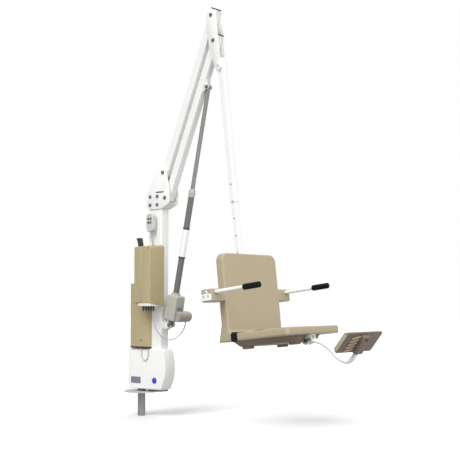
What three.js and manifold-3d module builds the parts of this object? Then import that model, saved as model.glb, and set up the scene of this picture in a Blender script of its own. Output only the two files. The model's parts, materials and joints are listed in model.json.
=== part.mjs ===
// A pool patient lift: a mast that turns on a deck spigot, twin parallel arms raised by a linear
// actuator, and a seat that hangs from the arms on a post. Millimetres, +Z up, +X towards the seat.
// The origin is the centre of the spigot's lower end.
import * as THREE from 'three';
import { mergeVertices } from 'three/addons/utils/BufferGeometryUtils.js';
import Module from 'manifold-3d';

const wasm = await Module();
wasm.setup();

const degree = Math.PI / 180;
const gap = 0.3;
const overrun = 5;
const arcSteps = 2;
const tubeSteps = 18;

// Driving dimensions. Heights in the machine are above the deck.
const anchor = {
  pipe: 48.3, depth: 150, flange: 220, flangeThick: 10, top: 222, chamfer: 2,
  collar: 68, collarLow: 36, collarHigh: 50, sides: 20, running: 0.8,
};
const mast = { wide: 112, deep: 70, wall: 4, round: 8, centre: 146, low: 20, high: 1256 };
const lean = 6.6 * degree;
const arm = {
  size: 50, wall: 3, round: 5, length: 1022, angle: 67.4 * degree, spacing: 163,
  tail: 14, nose: 38, capThick: 8, plug: 20, lowX: 238, lowZ: 1227,
};
const pin = { radius: 10, head: 11.5, headThick: 8, collar: 16, running: 0.6, sides: 12 };
const bolt = { shank: 6, head: 9.5, headThick: 6, sides: 8, running: 0.8 };

const direction = [Math.cos(arm.angle), Math.sin(arm.angle)];
const normal = [direction[1], -direction[0]];
const lowPivot = [arm.lowX, arm.lowZ];
const highPivot = [arm.lowX - arm.spacing * Math.sin(lean), arm.lowZ + arm.spacing * Math.cos(lean)];
const mastLeft = mast.centre - mast.wide / 2;
const mastRight = mast.centre + mast.wide / 2;
const mastNear = -mast.deep / 2;

function solidOf(geometry) {
  const bare = geometry.clone();
  bare.deleteAttribute('normal');
  bare.deleteAttribute('uv');
  const merged = mergeVertices(bare, 1e-4);
  return new wasm.Manifold(new wasm.Mesh({
    numProp: 3,
    vertProperties: new Float32Array(merged.attributes.position.array),
    triVerts: new Uint32Array(merged.index.array),
  }));
}

function geometryOf(solid) {
  const mesh = solid.getMesh();
  const geometry = new THREE.BufferGeometry();
  geometry.setAttribute('position', new THREE.BufferAttribute(new Float32Array(mesh.vertProperties), 3));
  geometry.setIndex(new THREE.BufferAttribute(new Uint32Array(mesh.triVerts), 1));
  const flat = geometry.toNonIndexed();
  flat.computeVertexNormals();
  return flat;
}

const cut = (body, ...tools) => geometryOf(
  tools.reduce((left, tool) => left.subtract(solidOf(tool)), solidOf(body)),
);
const join = (...bodies) => geometryOf(bodies.map(solidOf).reduce((all, body) => all.add(body)));
const common = (one, other) => geometryOf(solidOf(one).intersect(solidOf(other)));

function box(x0, x1, y0, y1, z0, z1) {
  const block = new THREE.BoxGeometry(x1 - x0, y1 - y0, z1 - z0);
  return block.translate((x0 + x1) / 2, (y0 + y1) / 2, (z0 + z1) / 2);
}

// Cylinders along each axis, from one end to the other.
function postAlongZ(radius, z0, z1, sides, x = 0, y = 0) {
  return new THREE.CylinderGeometry(radius, radius, z1 - z0, sides)
    .rotateX(Math.PI / 2).translate(x, y, (z0 + z1) / 2);
}
function barAlongY(radius, y0, y1, sides, x = 0, z = 0) {
  return new THREE.CylinderGeometry(radius, radius, y1 - y0, sides).translate(x, (y0 + y1) / 2, z);
}
function barAlongX(radius, x0, x1, sides, y = 0, z = 0) {
  return new THREE.CylinderGeometry(radius, radius, x1 - x0, sides)
    .rotateZ(Math.PI / 2).translate((x0 + x1) / 2, y, z);
}

// A body of revolution about Z, from points of radius and height.
function turned(profile, sides) {
  const points = profile.map(([radius, height]) => new THREE.Vector2(radius, height));
  return new THREE.LatheGeometry(points, sides).rotateX(Math.PI / 2);
}
function ring(inner, outer, z0, z1, sides) {
  return turned([[inner, z0], [outer, z0], [outer, z1], [inner, z1], [inner, z0]], sides);
}

function roundedShape(wide, high, round) {
  const shape = new THREE.Shape();
  const x = wide / 2 - round;
  const y = high / 2 - round;
  shape.absarc(x, y, round, 0, Math.PI / 2);
  shape.absarc(-x, y, round, Math.PI / 2, Math.PI);
  shape.absarc(-x, -y, round, Math.PI, 1.5 * Math.PI);
  shape.absarc(x, -y, round, 1.5 * Math.PI, 2 * Math.PI);
  return shape;
}
function polygon(points) {
  return new THREE.Shape(points.map(([x, y]) => new THREE.Vector2(x, y)));
}

// A profile in X and Y carried up Z, with its edges eased by bevel.
function prism(shape, z0, z1, bevel = 0, bevelSteps = 1) {
  const body = new THREE.ExtrudeGeometry(shape, {
    depth: z1 - z0 - 2 * bevel, curveSegments: arcSteps, bevelEnabled: bevel > 0,
    bevelThickness: bevel, bevelSize: bevel, bevelOffset: -bevel, bevelSegments: bevelSteps,
  });
  return body.translate(0, 0, z0 + bevel);
}
// A profile in X and Z carried along Y.
function sidePlate(shape, y0, y1, bevel = 0, bevelSteps = 1) {
  return prism(shape, 0, y1 - y0, bevel, bevelSteps).rotateX(Math.PI / 2).translate(0, y1, 0);
}
// A profile in Y and Z carried along X.
function frontPlate(shape, x0, x1, bevel = 0, bevelSteps = 1) {
  return prism(shape, 0, x1 - x0, bevel, bevelSteps)
    .rotateX(Math.PI / 2).rotateZ(Math.PI / 2).translate(x0, 0, 0);
}

function squareTube(size, deep, wall, round, z0, z1) {
  const shape = roundedShape(size, deep, round);
  shape.holes.push(roundedShape(size - 2 * wall, deep - 2 * wall, Math.max(round - wall, wall / 2)));
  return prism(shape, z0, z1);
}

// A round tube whose centre line passes through the points.
function bentTube(points, radius, sides, steps, inner = 0) {
  const knots = points.map((point) => new THREE.Vector3(...point));
  const path = new THREE.CatmullRomCurve3(knots, false, 'centripetal');
  const outline = new THREE.Shape().absarc(0, 0, radius, 0, 2 * Math.PI);
  if (inner > 0) outline.holes.push(new THREE.Path().absarc(0, 0, inner, 0, 2 * Math.PI));
  return new THREE.ExtrudeGeometry(outline, { extrudePath: path, steps, curveSegments: sides });
}

// A solid between two outlines of X and Y with the same number of points.
function loft(lowPoints, highPoints, z0, z1) {
  const count = lowPoints.length;
  const corners = [...lowPoints.map(([x, y]) => [x, y, z0]), ...highPoints.map(([x, y]) => [x, y, z1])];
  const faces = [];
  for (let i = 0; i < count; i += 1) {
    const next = (i + 1) % count;
    faces.push([i, next, count + next], [i, count + next, count + i]);
  }
  const flat = (points) => THREE.ShapeUtils.triangulateShape(
    points.map(([x, y]) => new THREE.Vector2(x, y)), [],
  );
  flat(lowPoints).forEach(([a, b, c]) => faces.push([a, c, b]));
  flat(highPoints).forEach(([a, b, c]) => faces.push([count + a, count + b, count + c]));
  const geometry = new THREE.BufferGeometry();
  geometry.setAttribute('position', new THREE.Float32BufferAttribute(corners.flat(), 3));
  geometry.setIndex(faces.flat());
  const open = geometry.toNonIndexed();
  open.computeVertexNormals();
  return open;
}

const finishes = {
  whitePaint: [0xf4f4f2, 0.35, 0.1], greySteel: [0x8a8d8e, 0.45, 0.8], brightSteel: [0xb9bcbe, 0.3, 0.9],
  darkSteel: [0x3c3d3f, 0.5, 0.7], tanPlastic: [0xbfae8c, 0.6, 0], shadeTan: [0xb5a27e, 0.6, 0],
  whitePlastic: [0xf2f3f2, 0.4, 0], blackPlastic: [0x161617, 0.6, 0], greyPlastic: [0xb6b4ac, 0.5, 0],
  foamBlack: [0x0d0d0e, 0.9, 0], paleCord: [0xa9abab, 0.6, 0],
};
const machine = new THREE.Group();
machine.position.z = anchor.depth;
const carrier = new THREE.Group();
machine.add(carrier);
const parts = new THREE.Group();
parts.add(machine);

function piece(name, geometry, finish, parent = machine) {
  const [color, roughness, metalness] = finishes[finish];
  const mesh = new THREE.Mesh(geometry, new THREE.MeshStandardMaterial({ color, roughness, metalness }));
  mesh.name = name;
  parent.add(mesh);
  return mesh;
}

// Anchor: the spigot in the deck socket, carried up as the spindle that the mast turns on.
const spindleRadius = anchor.pipe / 2;
function buildAnchor() {
  const collar = anchor.collar / 2;
  piece('anchor_spindle', turned([
    [0, -anchor.depth], [spindleRadius - anchor.chamfer, -anchor.depth],
    [spindleRadius, -anchor.depth + anchor.chamfer], [spindleRadius, anchor.collarLow],
    [collar, anchor.collarLow], [collar, anchor.collarHigh], [spindleRadius, anchor.collarHigh],
    [spindleRadius, anchor.top - anchor.chamfer], [spindleRadius - anchor.chamfer, anchor.top],
    [0, anchor.top],
  ], anchor.sides), 'greySteel');
  piece('deck_flange', ring(spindleRadius + gap, anchor.flange / 2, 0, anchor.flangeThick, anchor.sides),
    'brightSteel');
}

// Turning gear: a hub on two bearings, and a fixed ring gear that the motor's pinion walks round.
const hub = { inner: 36, outer: 42, low: 56, high: 198, web: 20, webLow: 70, webHigh: 186 };
const gear = {
  module: 3, ringTeeth: 24, pinionTeeth: 12, low: 203, high: 217, addendum: 0.85, dedendum: 1.2,
  rootHalfShare: 0.28, tipHalfShare: 0.11,
};
const shaft = { radius: 7, high: 299.7 };
const pinionX = gear.module * (gear.ringTeeth + gear.pinionTeeth) / 2;
function toothedShape(teeth, turn) {
  const pitchRadius = gear.module * teeth / 2;
  const { rootHalfShare, tipHalfShare } = gear;
  const points = [];
  for (let i = 0; i < teeth; i += 1) {
    const corners = [
      [-rootHalfShare, pitchRadius - gear.dedendum * gear.module],
      [-tipHalfShare, pitchRadius + gear.addendum * gear.module],
      [tipHalfShare, pitchRadius + gear.addendum * gear.module],
      [rootHalfShare, pitchRadius - gear.dedendum * gear.module],
    ];
    corners.forEach(([share, radius]) => {
      const angle = turn + (i + share) * 2 * Math.PI / teeth;
      points.push([radius * Math.cos(angle), radius * Math.sin(angle)]);
    });
  }
  return polygon(points);
}
function buildTurningGear() {
  const web = box(hub.inner + gap, mastLeft - gap, -hub.web / 2, hub.web / 2, hub.webLow, hub.webHigh);
  const seat = postAlongZ(hub.inner, hub.low - overrun, hub.high + overrun, anchor.sides);
  const sleeve = postAlongZ(hub.outer, hub.low, hub.high, anchor.sides);
  piece('turning_hub', cut(join(sleeve, web), seat), 'greySteel');
  const bore = spindleRadius + anchor.running;
  piece('hub_bush', turned([
    [bore, anchor.collarHigh + gap], [hub.outer, anchor.collarHigh + gap],
    [hub.outer, hub.low - gap], [hub.inner - gap, hub.low - gap], [hub.inner - gap, hub.high],
    [bore, hub.high], [bore, anchor.collarHigh + gap],
  ], anchor.sides), 'darkSteel');
  const keyed = postAlongZ(spindleRadius + gap, gear.low - overrun, gear.high + overrun, anchor.sides);
  piece('ring_gear', cut(prism(toothedShape(gear.ringTeeth, 0), gear.low, gear.high), keyed), 'darkSteel');
  const pinion = prism(toothedShape(gear.pinionTeeth, Math.PI / gear.pinionTeeth), gear.low, gear.high);
  const drive = postAlongZ(shaft.radius, gear.low, shaft.high, pin.sides);
  piece('drive_pinion', join(pinion, drive).translate(pinionX, 0, 0), 'darkSteel');
}

// Mast: a square tube, shut at the top by a cap and pierced for the knuckle's bolts.
const mastBolts = { left: 110, right: 172, low: 1187, high: 1240 };
function boltPlaces() {
  const { left, right, low, high } = mastBolts;
  return [[left, low], [right, low], [left, high], [right, high]];
}
function buildMast() {
  const tube = squareTube(mast.wide, mast.deep, mast.wall, mast.round, mast.low, mast.high)
    .translate(mast.centre, 0, 0);
  const reach = mast.deep / 2 + overrun;
  const holes = boltPlaces().map(([x, z]) => barAlongY(bolt.shank + gap, -reach, reach, bolt.sides, x, z));
  piece('mast_tube', cut(tube, ...holes), 'whitePaint');
}

// Base housing: two moulded halves that meet on the middle plane.
const housing = { low: 23, high: 277, left: -77, wall: 4, half: 48, ease: 6, shaftHole: 11 };
const housingBulge = { top: 222, shoulder: 244, belly: 251, waist: 238, bottom: 212 };
const housingHeightShares = { shoulder: 0.76, belly: 0.55, waist: 0.26 };
function housingOutline(inset) {
  const tall = housing.high - housing.low;
  const at = (share) => housing.low + share * tall;
  const corner = housing.ease * 2;
  const points = [
    [housing.left + corner, housing.low], [housingBulge.bottom, housing.low],
    [housingBulge.waist, at(housingHeightShares.waist)], [housingBulge.belly, at(housingHeightShares.belly)],
    [housingBulge.shoulder, at(housingHeightShares.shoulder)], [housingBulge.top, housing.high],
    [housing.left + corner, housing.high], [housing.left, housing.high - corner],
    [housing.left, housing.low + corner],
  ];
  const middleX = (housing.left + housingBulge.belly) / 2;
  const middleZ = (housing.low + housing.high) / 2;
  const shrinkX = 1 - inset / (housingBulge.belly - middleX);
  const shrinkZ = 1 - inset / (housing.high - middleZ);
  return points.map(([x, z]) => [middleX + (x - middleX) * shrinkX, middleZ + (z - middleZ) * shrinkZ]);
}
function buildHousing() {
  const outer = sidePlate(polygon(housingOutline(0)), -housing.half, housing.half, housing.ease, 2);
  const depth = housing.half - housing.wall;
  const hollow = sidePlate(polygon(housingOutline(housing.wall)), -depth, depth);
  const play = gap * 2;
  const mastWay = box(mastLeft - play, mastRight + play, mastNear - play, -mastNear + play,
    housing.low - overrun, housing.high + overrun);
  const spindleWay = postAlongZ(spindleRadius + 2 * gap, housing.low - overrun,
    housing.low + housing.wall + overrun, anchor.sides);
  const shaftWay = postAlongZ(housing.shaftHole, housing.high - housing.wall - overrun,
    housing.high + overrun, pin.sides, pinionX);
  const shell = cut(outer, hollow, mastWay, spindleWay, shaftWay);
  const reach = anchor.flange * 2;
  const half = (near) => box(-reach, reach, near ? -reach : gap / 2, near ? -gap / 2 : reach, -reach, reach);
  piece('housing_near', common(shell, half(true)), 'whitePlastic');
  piece('housing_far', common(shell, half(false)), 'whitePlastic');
}

// Rotation drive above the housing: bracket, gearmotor, tapered cover and its base plate.
const drive = {
  plateLow: 292, plateHigh: 299.7, plateLeft: -24, plateHalf: 44, upright: 60, uprightThick: 6,
  motor: 28, motorHigh: 512, gearbox: 32, gearboxHigh: 372,
};
const coverLow = { left: -45, right: 122, half: 60, baseLow: 280, low: 290.3, high: 690, wall: 3, back: 40 };
const coverCrease = { low: 116, high: 11 };
function buildRotationDrive() {
  const { plateLow, plateHigh, plateLeft, plateHalf, uprightThick, upright } = drive;
  const plate = box(plateLeft, mastLeft - gap, -plateHalf, plateHalf, plateLow, plateHigh);
  const ear = box(mastLeft - gap - uprightThick, mastLeft - gap, -mast.deep / 2, mast.deep / 2,
    plateLow, plateHigh + upright);
  const hole = postAlongZ(shaft.radius + pin.running, plateLow - overrun, plateHigh + overrun,
    pin.sides, pinionX);
  const clear = postAlongZ(drive.gearbox + gap, plateHigh, drive.gearboxHigh + overrun,
    anchor.sides, pinionX);
  piece('motor_bracket', cut(join(plate, ear), hole, clear), 'greySteel');
  const gearbox = postAlongZ(drive.gearbox, plateHigh + gap, drive.gearboxHigh, anchor.sides, pinionX);
  const can = postAlongZ(drive.motor, drive.gearboxHigh - overrun, drive.motorHigh, anchor.sides, pinionX);
  piece('rotation_gearmotor', join(gearbox, can), 'darkSteel');
}
function coverOutline(creaseX, inset) {
  const left = coverLow.left + inset;
  const right = coverLow.right - inset;
  const half = coverLow.half - inset;
  const crease = creaseX - inset;
  const back = coverLow.back - inset;
  return [[left, -half], [crease, -half], [right, -back], [right, back], [crease, half], [left, half]];
}
function buildLowerCover() {
  const { low, high, wall, baseLow, right, half } = coverLow;
  const outer = loft(coverOutline(coverCrease.low, 0), coverOutline(coverCrease.high, 0), low, high);
  const inner = loft(coverOutline(coverCrease.low, wall), coverOutline(coverCrease.high, wall),
    low - overrun, high - wall);
  const way = box(mastLeft - gap, mastRight, mastNear - gap, -mastNear + gap,
    baseLow - overrun, high + overrun);
  const relief = box(coverHigh.left - gap, right + overrun, -half - overrun, mastNear,
    control.trayLow - gap, high + overrun);
  piece('lower_cover', cut(outer, inner, way, relief), 'tanPlastic');
  const base = prism(polygon(coverOutline(coverCrease.low, 0)), baseLow, low - gap);
  const shaftWay = postAlongZ(housing.shaftHole, baseLow - overrun, low + overrun, pin.sides, pinionX);
  piece('cover_base', cut(base, way, shaftWay), 'blackPlastic');
}

// Controls on the mast's near face: box with its bottom tray, battery, cover, glands.
const control = {
  left: 97, right: 225, near: -108, low: 552, high: 860,
  trayLow: 540, trayLeft: 95, trayRight: 227, trayNear: -160,
};
const battery = {
  near: -157, far: control.near - gap, low: control.low + gap, high: 880, left: 99, right: 223, play: 1,
};
const handle = { left: 100, right: 136, thick: 16, high: 973, root: 868 };
const coverHigh = {
  left: 91, right: 231, near: -165, far: -39, low: 546, high: 924, wall: 3, round: 16, ease: 5,
};
const cordNotch = 7;
const rib = { left: 122, right: 166, stand: 3, low: 560, high: 905 };
const glands = { radius: 7, long: 24, first: 108, pitch: 22, count: 5, y: -96, sides: 10 };
function buildControls() {
  const rear = mastNear - gap;
  const tower = box(control.left, control.right, control.near, rear, control.low - overrun, control.high);
  const shelf = box(control.trayLeft, control.trayRight, control.trayNear, rear,
    control.trayLow, control.low);
  const pack = box(battery.left, battery.right, battery.near, battery.far, battery.low, battery.high);
  const middle = (battery.near + battery.far) / 2;
  const grip = box(handle.left, handle.right, middle - handle.thick / 2, middle + handle.thick / 2,
    handle.root, handle.high);
  piece('battery_pack', join(pack, grip), 'blackPlastic');
  const row = [];
  for (let i = 0; i < glands.count; i += 1) {
    row.push(postAlongZ(glands.radius, control.trayLow - glands.long, control.trayLow + overrun,
      glands.sides, glands.first + i * glands.pitch, glands.y));
  }
  piece('control_box', join(tower, shelf, ...row), 'whitePlastic');
}
function buildUpperCover() {
  const { left, right, near, far, low, high, wall, round, ease } = coverHigh;
  const face = (inset) => roundedShape(right - left - 2 * inset, high - low - 2 * inset, round - inset);
  const middle = [(left + right) / 2, 0, (low + high) / 2];
  const outer = sidePlate(face(0), near, far + ease, ease, 2).translate(...middle);
  const ribFace = box(rib.left, rib.right, near - rib.stand, near + wall, rib.low, rib.high);
  const inner = sidePlate(face(wall), near + wall, far + 2 * ease).translate(...middle);
  const floor = box(left - overrun, right + overrun, near - rib.stand - overrun, far + 2 * ease,
    low - overrun, control.low + gap);
  const rear = box(left - overrun, right + overrun, far, far + 3 * ease, low - overrun, high + overrun);
  const slot = box(battery.left - battery.play, battery.right + battery.play,
    battery.near - battery.play, battery.far + battery.play, high - wall - overrun, high + overrun);
  const cordWay = box(handset.x - cordNotch, handset.x + cordNotch, far - 2 * cordNotch, far + overrun,
    high - wall - overrun, high + overrun);
  const skirt = box(left + wall, right - wall, near + wall, far + 2 * ease, low - overrun, low + 2 * round);
  piece('upper_cover', cut(join(outer, ribFace), inner, skirt, floor, rear, slot, cordWay), 'tanPlastic');
}

// Handset on its hook, with four keys on its near face.
const handset = { x: 140, z: 1073, wide: 56, high: 116, near: -72, far: -48, round: 22, ease: 6 };
const key = { radius: 7, proud: 3, sink: 4, travel: 1.2, stepX: 20, stepZ: 24, high: 24 };
const hook = { wide: 30, high: 40 };
function keyPlaces() {
  const { x, z } = handset;
  return {
    key_raise: [x - key.stepX / 2, z + key.high],
    key_lower: [x + key.stepX / 2, z + key.high],
    key_left: [x - key.stepX / 2, z + key.high - key.stepZ],
    key_right: [x + key.stepX / 2, z + key.high - key.stepZ],
  };
}
function buildHandset() {
  const { x, z, near, far } = handset;
  const face = roundedShape(handset.wide, handset.high, handset.round);
  const shell = sidePlate(face, near, far, handset.ease, 2).translate(x, 0, z);
  const wells = Object.values(keyPlaces()).map(([keyX, keyZ]) => barAlongY(
    key.radius + gap, near - overrun, near + key.sink + key.travel + gap, pin.sides, keyX, keyZ,
  ));
  const clip = box(x - hook.wide / 2, x + hook.wide / 2, far - handset.ease, mastNear - gap,
    z, z + hook.high);
  piece('handset_shell', cut(join(shell, clip), ...wells), 'greyPlastic');
  Object.entries(keyPlaces()).forEach(([name, [keyX, keyZ]]) => {
    const button = barAlongY(key.radius, near - key.proud, near + key.sink - gap, pin.sides, keyX, keyZ);
    piece(name, button, 'blackPlastic');
  });
}

// Inner knuckle: two cheek plates bolted to the mast and closed by a slanting web.
const cheek = {
  thick: 8, half: mast.deep / 2 + gap, web: 5, slotHigh: 7, slotLeft: 160, slotRight: 228, slotLow: 1262,
};
const cheekCorners = {
  left: 78, footLeft: 92, footLow: 1160, footRight: 208, sideRight: 276, sideLow: 1194, sideHigh: 1262,
  topRight: 244, topHigh: 1412, crown: 1422, crownLeft: 188, backHigh: 1384, back: 158,
  leftHigh: 1256, leftLow: 1182,
};
const stopPin = { x: 250, z: 1350, radius: 6 };
function cheekShape() {
  const c = cheekCorners;
  return polygon([
    [c.footLeft, c.footLow], [c.footRight, c.footLow], [c.sideRight, c.sideLow], [c.sideRight, c.sideHigh],
    [c.topRight, c.topHigh], [c.topRight - overrun * 2, c.crown], [c.crownLeft, c.crown],
    [c.back, c.backHigh], [c.left, c.leftHigh], [c.left, c.leftLow],
  ]);
}
function buildInnerKnuckle() {
  const outerFace = cheek.half + cheek.thick;
  const near = sidePlate(cheekShape(), -outerFace, -cheek.half);
  const far = sidePlate(cheekShape(), cheek.half, outerFace);
  const c = cheekCorners;
  const along = Math.hypot(c.sideRight - c.footRight, c.sideLow - c.footLow);
  const lift = [
    -(c.sideLow - c.footLow) * cheek.web / along, (c.sideRight - c.footRight) * cheek.web / along,
  ];
  const web = sidePlate(polygon([
    [c.footRight, c.footLow], [c.sideRight, c.sideLow], [c.sideRight + lift[0], c.sideLow + lift[1]],
    [c.footRight + lift[0], c.footLow + lift[1]],
  ]), -outerFace, outerFace);
  const reach = outerFace + overrun;
  const holes = [
    ...boltPlaces().map(([x, z]) => barAlongY(bolt.shank + gap, -reach, reach, bolt.sides, x, z)),
    ...[highPivot, lowPivot].map(([x, z]) => barAlongY(pin.radius + gap, -reach, reach, pin.sides, x, z)),
    barAlongY(stopPin.radius + gap, -reach, reach, bolt.sides, stopPin.x, stopPin.z),
    box(cheek.slotLeft, cheek.slotRight, -reach, -cheek.half + gap, cheek.slotLow,
      cheek.slotLow + cheek.slotHigh),
  ];
  piece('inner_knuckle', cut(join(near, far, web), ...holes), 'whitePaint');
  [['upper_arm_pin', highPivot], ['lower_arm_pin', lowPivot]].forEach(([name, [x, z]]) => {
    const collars = [-1, 1].map((side) => barAlongY(pin.collar, ...ordered(
      side * (cheek.half - gap), side * (arm.size / 2 + gap),
    ), pin.sides, x, z));
    piece(name, join(headedBar(pin.radius, pin.head, pin.headThick, outerFace, x, z), ...collars),
      'darkSteel');
  });
}
const ordered = (one, other) => [Math.min(one, other), Math.max(one, other)];
// A bolt or pin along Y with a head outside each face.
function headedBar(radius, head, headThick, face, x, z, sides = pin.sides) {
  const end = face + gap + headThick;
  return join(barAlongY(radius, -end, end, sides, x, z), barAlongY(head, -end, -face - gap, sides, x, z),
    barAlongY(head, face + gap, end, sides, x, z));
}

// Arms: equal square tubes that stay parallel, each with a black end plug.
function armTube() {
  const tube = squareTube(arm.size, arm.size, arm.wall, arm.round, -arm.tail, arm.length + arm.nose);
  const reach = arm.size;
  const bore = pin.radius + pin.running;
  const holes = [0, arm.length].map((z) => barAlongY(bore, -reach, reach, pin.sides, 0, z));
  return cut(tube, ...holes);
}
function armPlug() {
  const end = arm.length + arm.nose;
  const inner = arm.size - 2 * arm.wall - 2 * gap;
  const head = prism(roundedShape(arm.size, arm.size, arm.round), end + gap, end + arm.capThick);
  const core = prism(roundedShape(inner, inner, arm.wall / 2), end - arm.plug, end + arm.capThick);
  return join(head, core);
}
// From an arm's own frame, Z along it, into the machine's.
function layArm(geometry, [x, z]) {
  return geometry.rotateY(Math.PI / 2 - arm.angle).translate(x, 0, z);
}
const lug = { fromEnd: 280, off: 46.5, half: 14, thick: 6, root: 44, eye: 15, rodHead: 14, play: 1 };
const lugAlong = arm.length - lug.fromEnd;
const rodPivot = [
  lowPivot[0] + lugAlong * direction[0] + lug.off * normal[0],
  lowPivot[1] + lugAlong * direction[1] + lug.off * normal[1],
];
function buildArms() {
  piece('upper_arm_tube', layArm(armTube(), highPivot), 'whitePaint');
  piece('upper_arm_plug', layArm(armPlug(), highPivot), 'blackPlastic');
  piece('lower_arm_tube', layArm(armTube(), lowPivot), 'whitePaint');
  piece('lower_arm_plug', layArm(armPlug(), lowPivot), 'blackPlastic');
  const face = arm.size / 2 + gap;
  const ear = (y0, y1) => {
    const shape = new THREE.Shape();
    shape.moveTo(face, lugAlong - lug.root);
    shape.absarc(lug.off, lugAlong, lug.eye, -Math.PI / 2, Math.PI / 2);
    shape.lineTo(face, lugAlong + lug.root);
    return sidePlate(shape, y0, y1);
  };
  const base = box(face, face + lug.thick, -lug.half - lug.thick, lug.half + lug.thick,
    lugAlong - lug.root, lugAlong + lug.root);
  const hole = barAlongY(pin.radius + gap, -arm.size, arm.size, pin.sides, lug.off, lugAlong);
  const clear = barAlongY(lug.rodHead + 2 * gap, -lug.half + gap, lug.half - gap, pin.sides,
    lug.off, lugAlong);
  const ears = join(ear(-lug.half - lug.thick, -lug.half), ear(lug.half, lug.half + lug.thick), base);
  piece('actuator_lugs', layArm(cut(ears, hole, clear), lowPivot), 'whitePaint');
  piece('rod_pin', headedBar(pin.radius, pin.head, pin.headThick, lug.half + lug.thick, ...rodPivot),
    'darkSteel');
}

// Linear actuator, built along Z from its foot pivot and leaned to reach the lugs.
const foot = [258, 428];
const stretch = Math.hypot(rodPivot[0] - foot[0], rodPivot[1] - foot[1]);
const actuatorLean = Math.atan2(rodPivot[0] - foot[0], rodPivot[1] - foot[1]);
const actuator = {
  eye: 14, eyeBore: 10.6, eyeHalf: 13, tube: 19, tubeWall: 2, tubeLow: 206, tubeHigh: 812,
  gland: 22, glandHigh: 862, housingLow: 30, housingHigh: 190, neck: 27, round: 8,
  housingLeft: -42, housingRight: 49, housingNear: -42, housingFar: 48, rod: 12, rodLow: 770,
};
const motorCan = { x: 52, z: 64, radius: 34, near: -26, far: 104, dome: 12, cableAt: 70 };
function layActuator(geometry) {
  return geometry.rotateY(actuatorLean).translate(foot[0], 0, foot[1]);
}
function buildActuator() {
  const a = actuator;
  const wide = a.housingRight - a.housingLeft;
  const deep = a.housingFar - a.housingNear;
  const casing = prism(roundedShape(wide, deep, a.round), a.housingLow, a.housingHigh, overrun, 2)
    .translate((a.housingLeft + a.housingRight) / 2, (a.housingNear + a.housingFar) / 2, 0);
  const neck = postAlongZ(a.neck, a.housingHigh - overrun, a.tubeLow - gap, anchor.sides);
  const tang = join(barAlongY(a.eye, -a.eyeHalf, a.eyeHalf, pin.sides),
    box(-a.eye, a.eye, -a.eyeHalf, a.eyeHalf, 0, a.housingLow + 2 * overrun));
  const bore = barAlongY(a.eyeBore, -a.eyeHalf - overrun, a.eyeHalf + overrun, pin.sides);
  piece('actuator_housing', layActuator(cut(join(casing, neck, tang), bore)), 'greyPlastic');
  const can = new THREE.LatheGeometry([
    [0, motorCan.near], [motorCan.radius, motorCan.near], [motorCan.radius, motorCan.far - motorCan.dome],
    [motorCan.radius - motorCan.dome, motorCan.far], [0, motorCan.far],
  ].map(([radius, y]) => new THREE.Vector2(radius, y)), anchor.sides).translate(motorCan.x, 0, motorCan.z);
  const clear = box(a.housingLeft, a.housingRight + gap, a.housingNear - overrun, a.housingFar + gap,
    a.housingLow - overrun, a.housingHigh);
  piece('actuator_motor', layActuator(cut(can, clear)), 'greyPlastic');
  piece('actuator_tube', layActuator(ring(a.tube - a.tubeWall, a.tube, a.tubeLow, a.tubeHigh, anchor.sides)),
    'greySteel');
  const glandRing = ring(a.tube - a.tubeWall, a.gland, a.tubeHigh + gap, a.glandHigh, anchor.sides);
  piece('actuator_gland', layActuator(glandRing), 'greyPlastic');
  const eye = barAlongY(a.eye, -lug.half + lug.play, lug.half - lug.play, pin.sides, 0, stretch);
  const eyeBore = barAlongY(a.eyeBore, -lug.half - overrun, lug.half + overrun, pin.sides, 0, stretch);
  const rod = cut(join(postAlongZ(a.rod, a.rodLow, stretch, anchor.sides), eye), eyeBore);
  piece('actuator_rod', layActuator(rod), 'brightSteel');
}
const footBracket = { half: 15, thick: 6, low: -34, high: 40, plate: 8, plateHalf: 30, eye: 15 };
function buildFootBracket() {
  const b = footBracket;
  const [x, z] = foot;
  const wall = mastRight + gap;
  const ear = (y0, y1) => {
    const shape = new THREE.Shape();
    shape.moveTo(wall, z + b.low);
    shape.absarc(x, z, b.eye, -Math.PI / 2, Math.PI / 2);
    shape.lineTo(wall, z + b.high);
    return sidePlate(shape, y0, y1);
  };
  const plate = box(wall, wall + b.plate, -b.plateHalf, b.plateHalf, z + b.low, z + b.high);
  const hole = barAlongY(pin.radius + gap, -mast.deep, mast.deep, pin.sides, x, z);
  const ears = [ear(-b.half - b.thick, -b.half), ear(b.half, b.half + b.thick)];
  piece('foot_bracket', cut(join(plate, ...ears), hole), 'whitePaint');
  piece('foot_pin', headedBar(pin.radius, pin.head, pin.headThick, b.half + b.thick, x, z), 'darkSteel');
}

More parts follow.
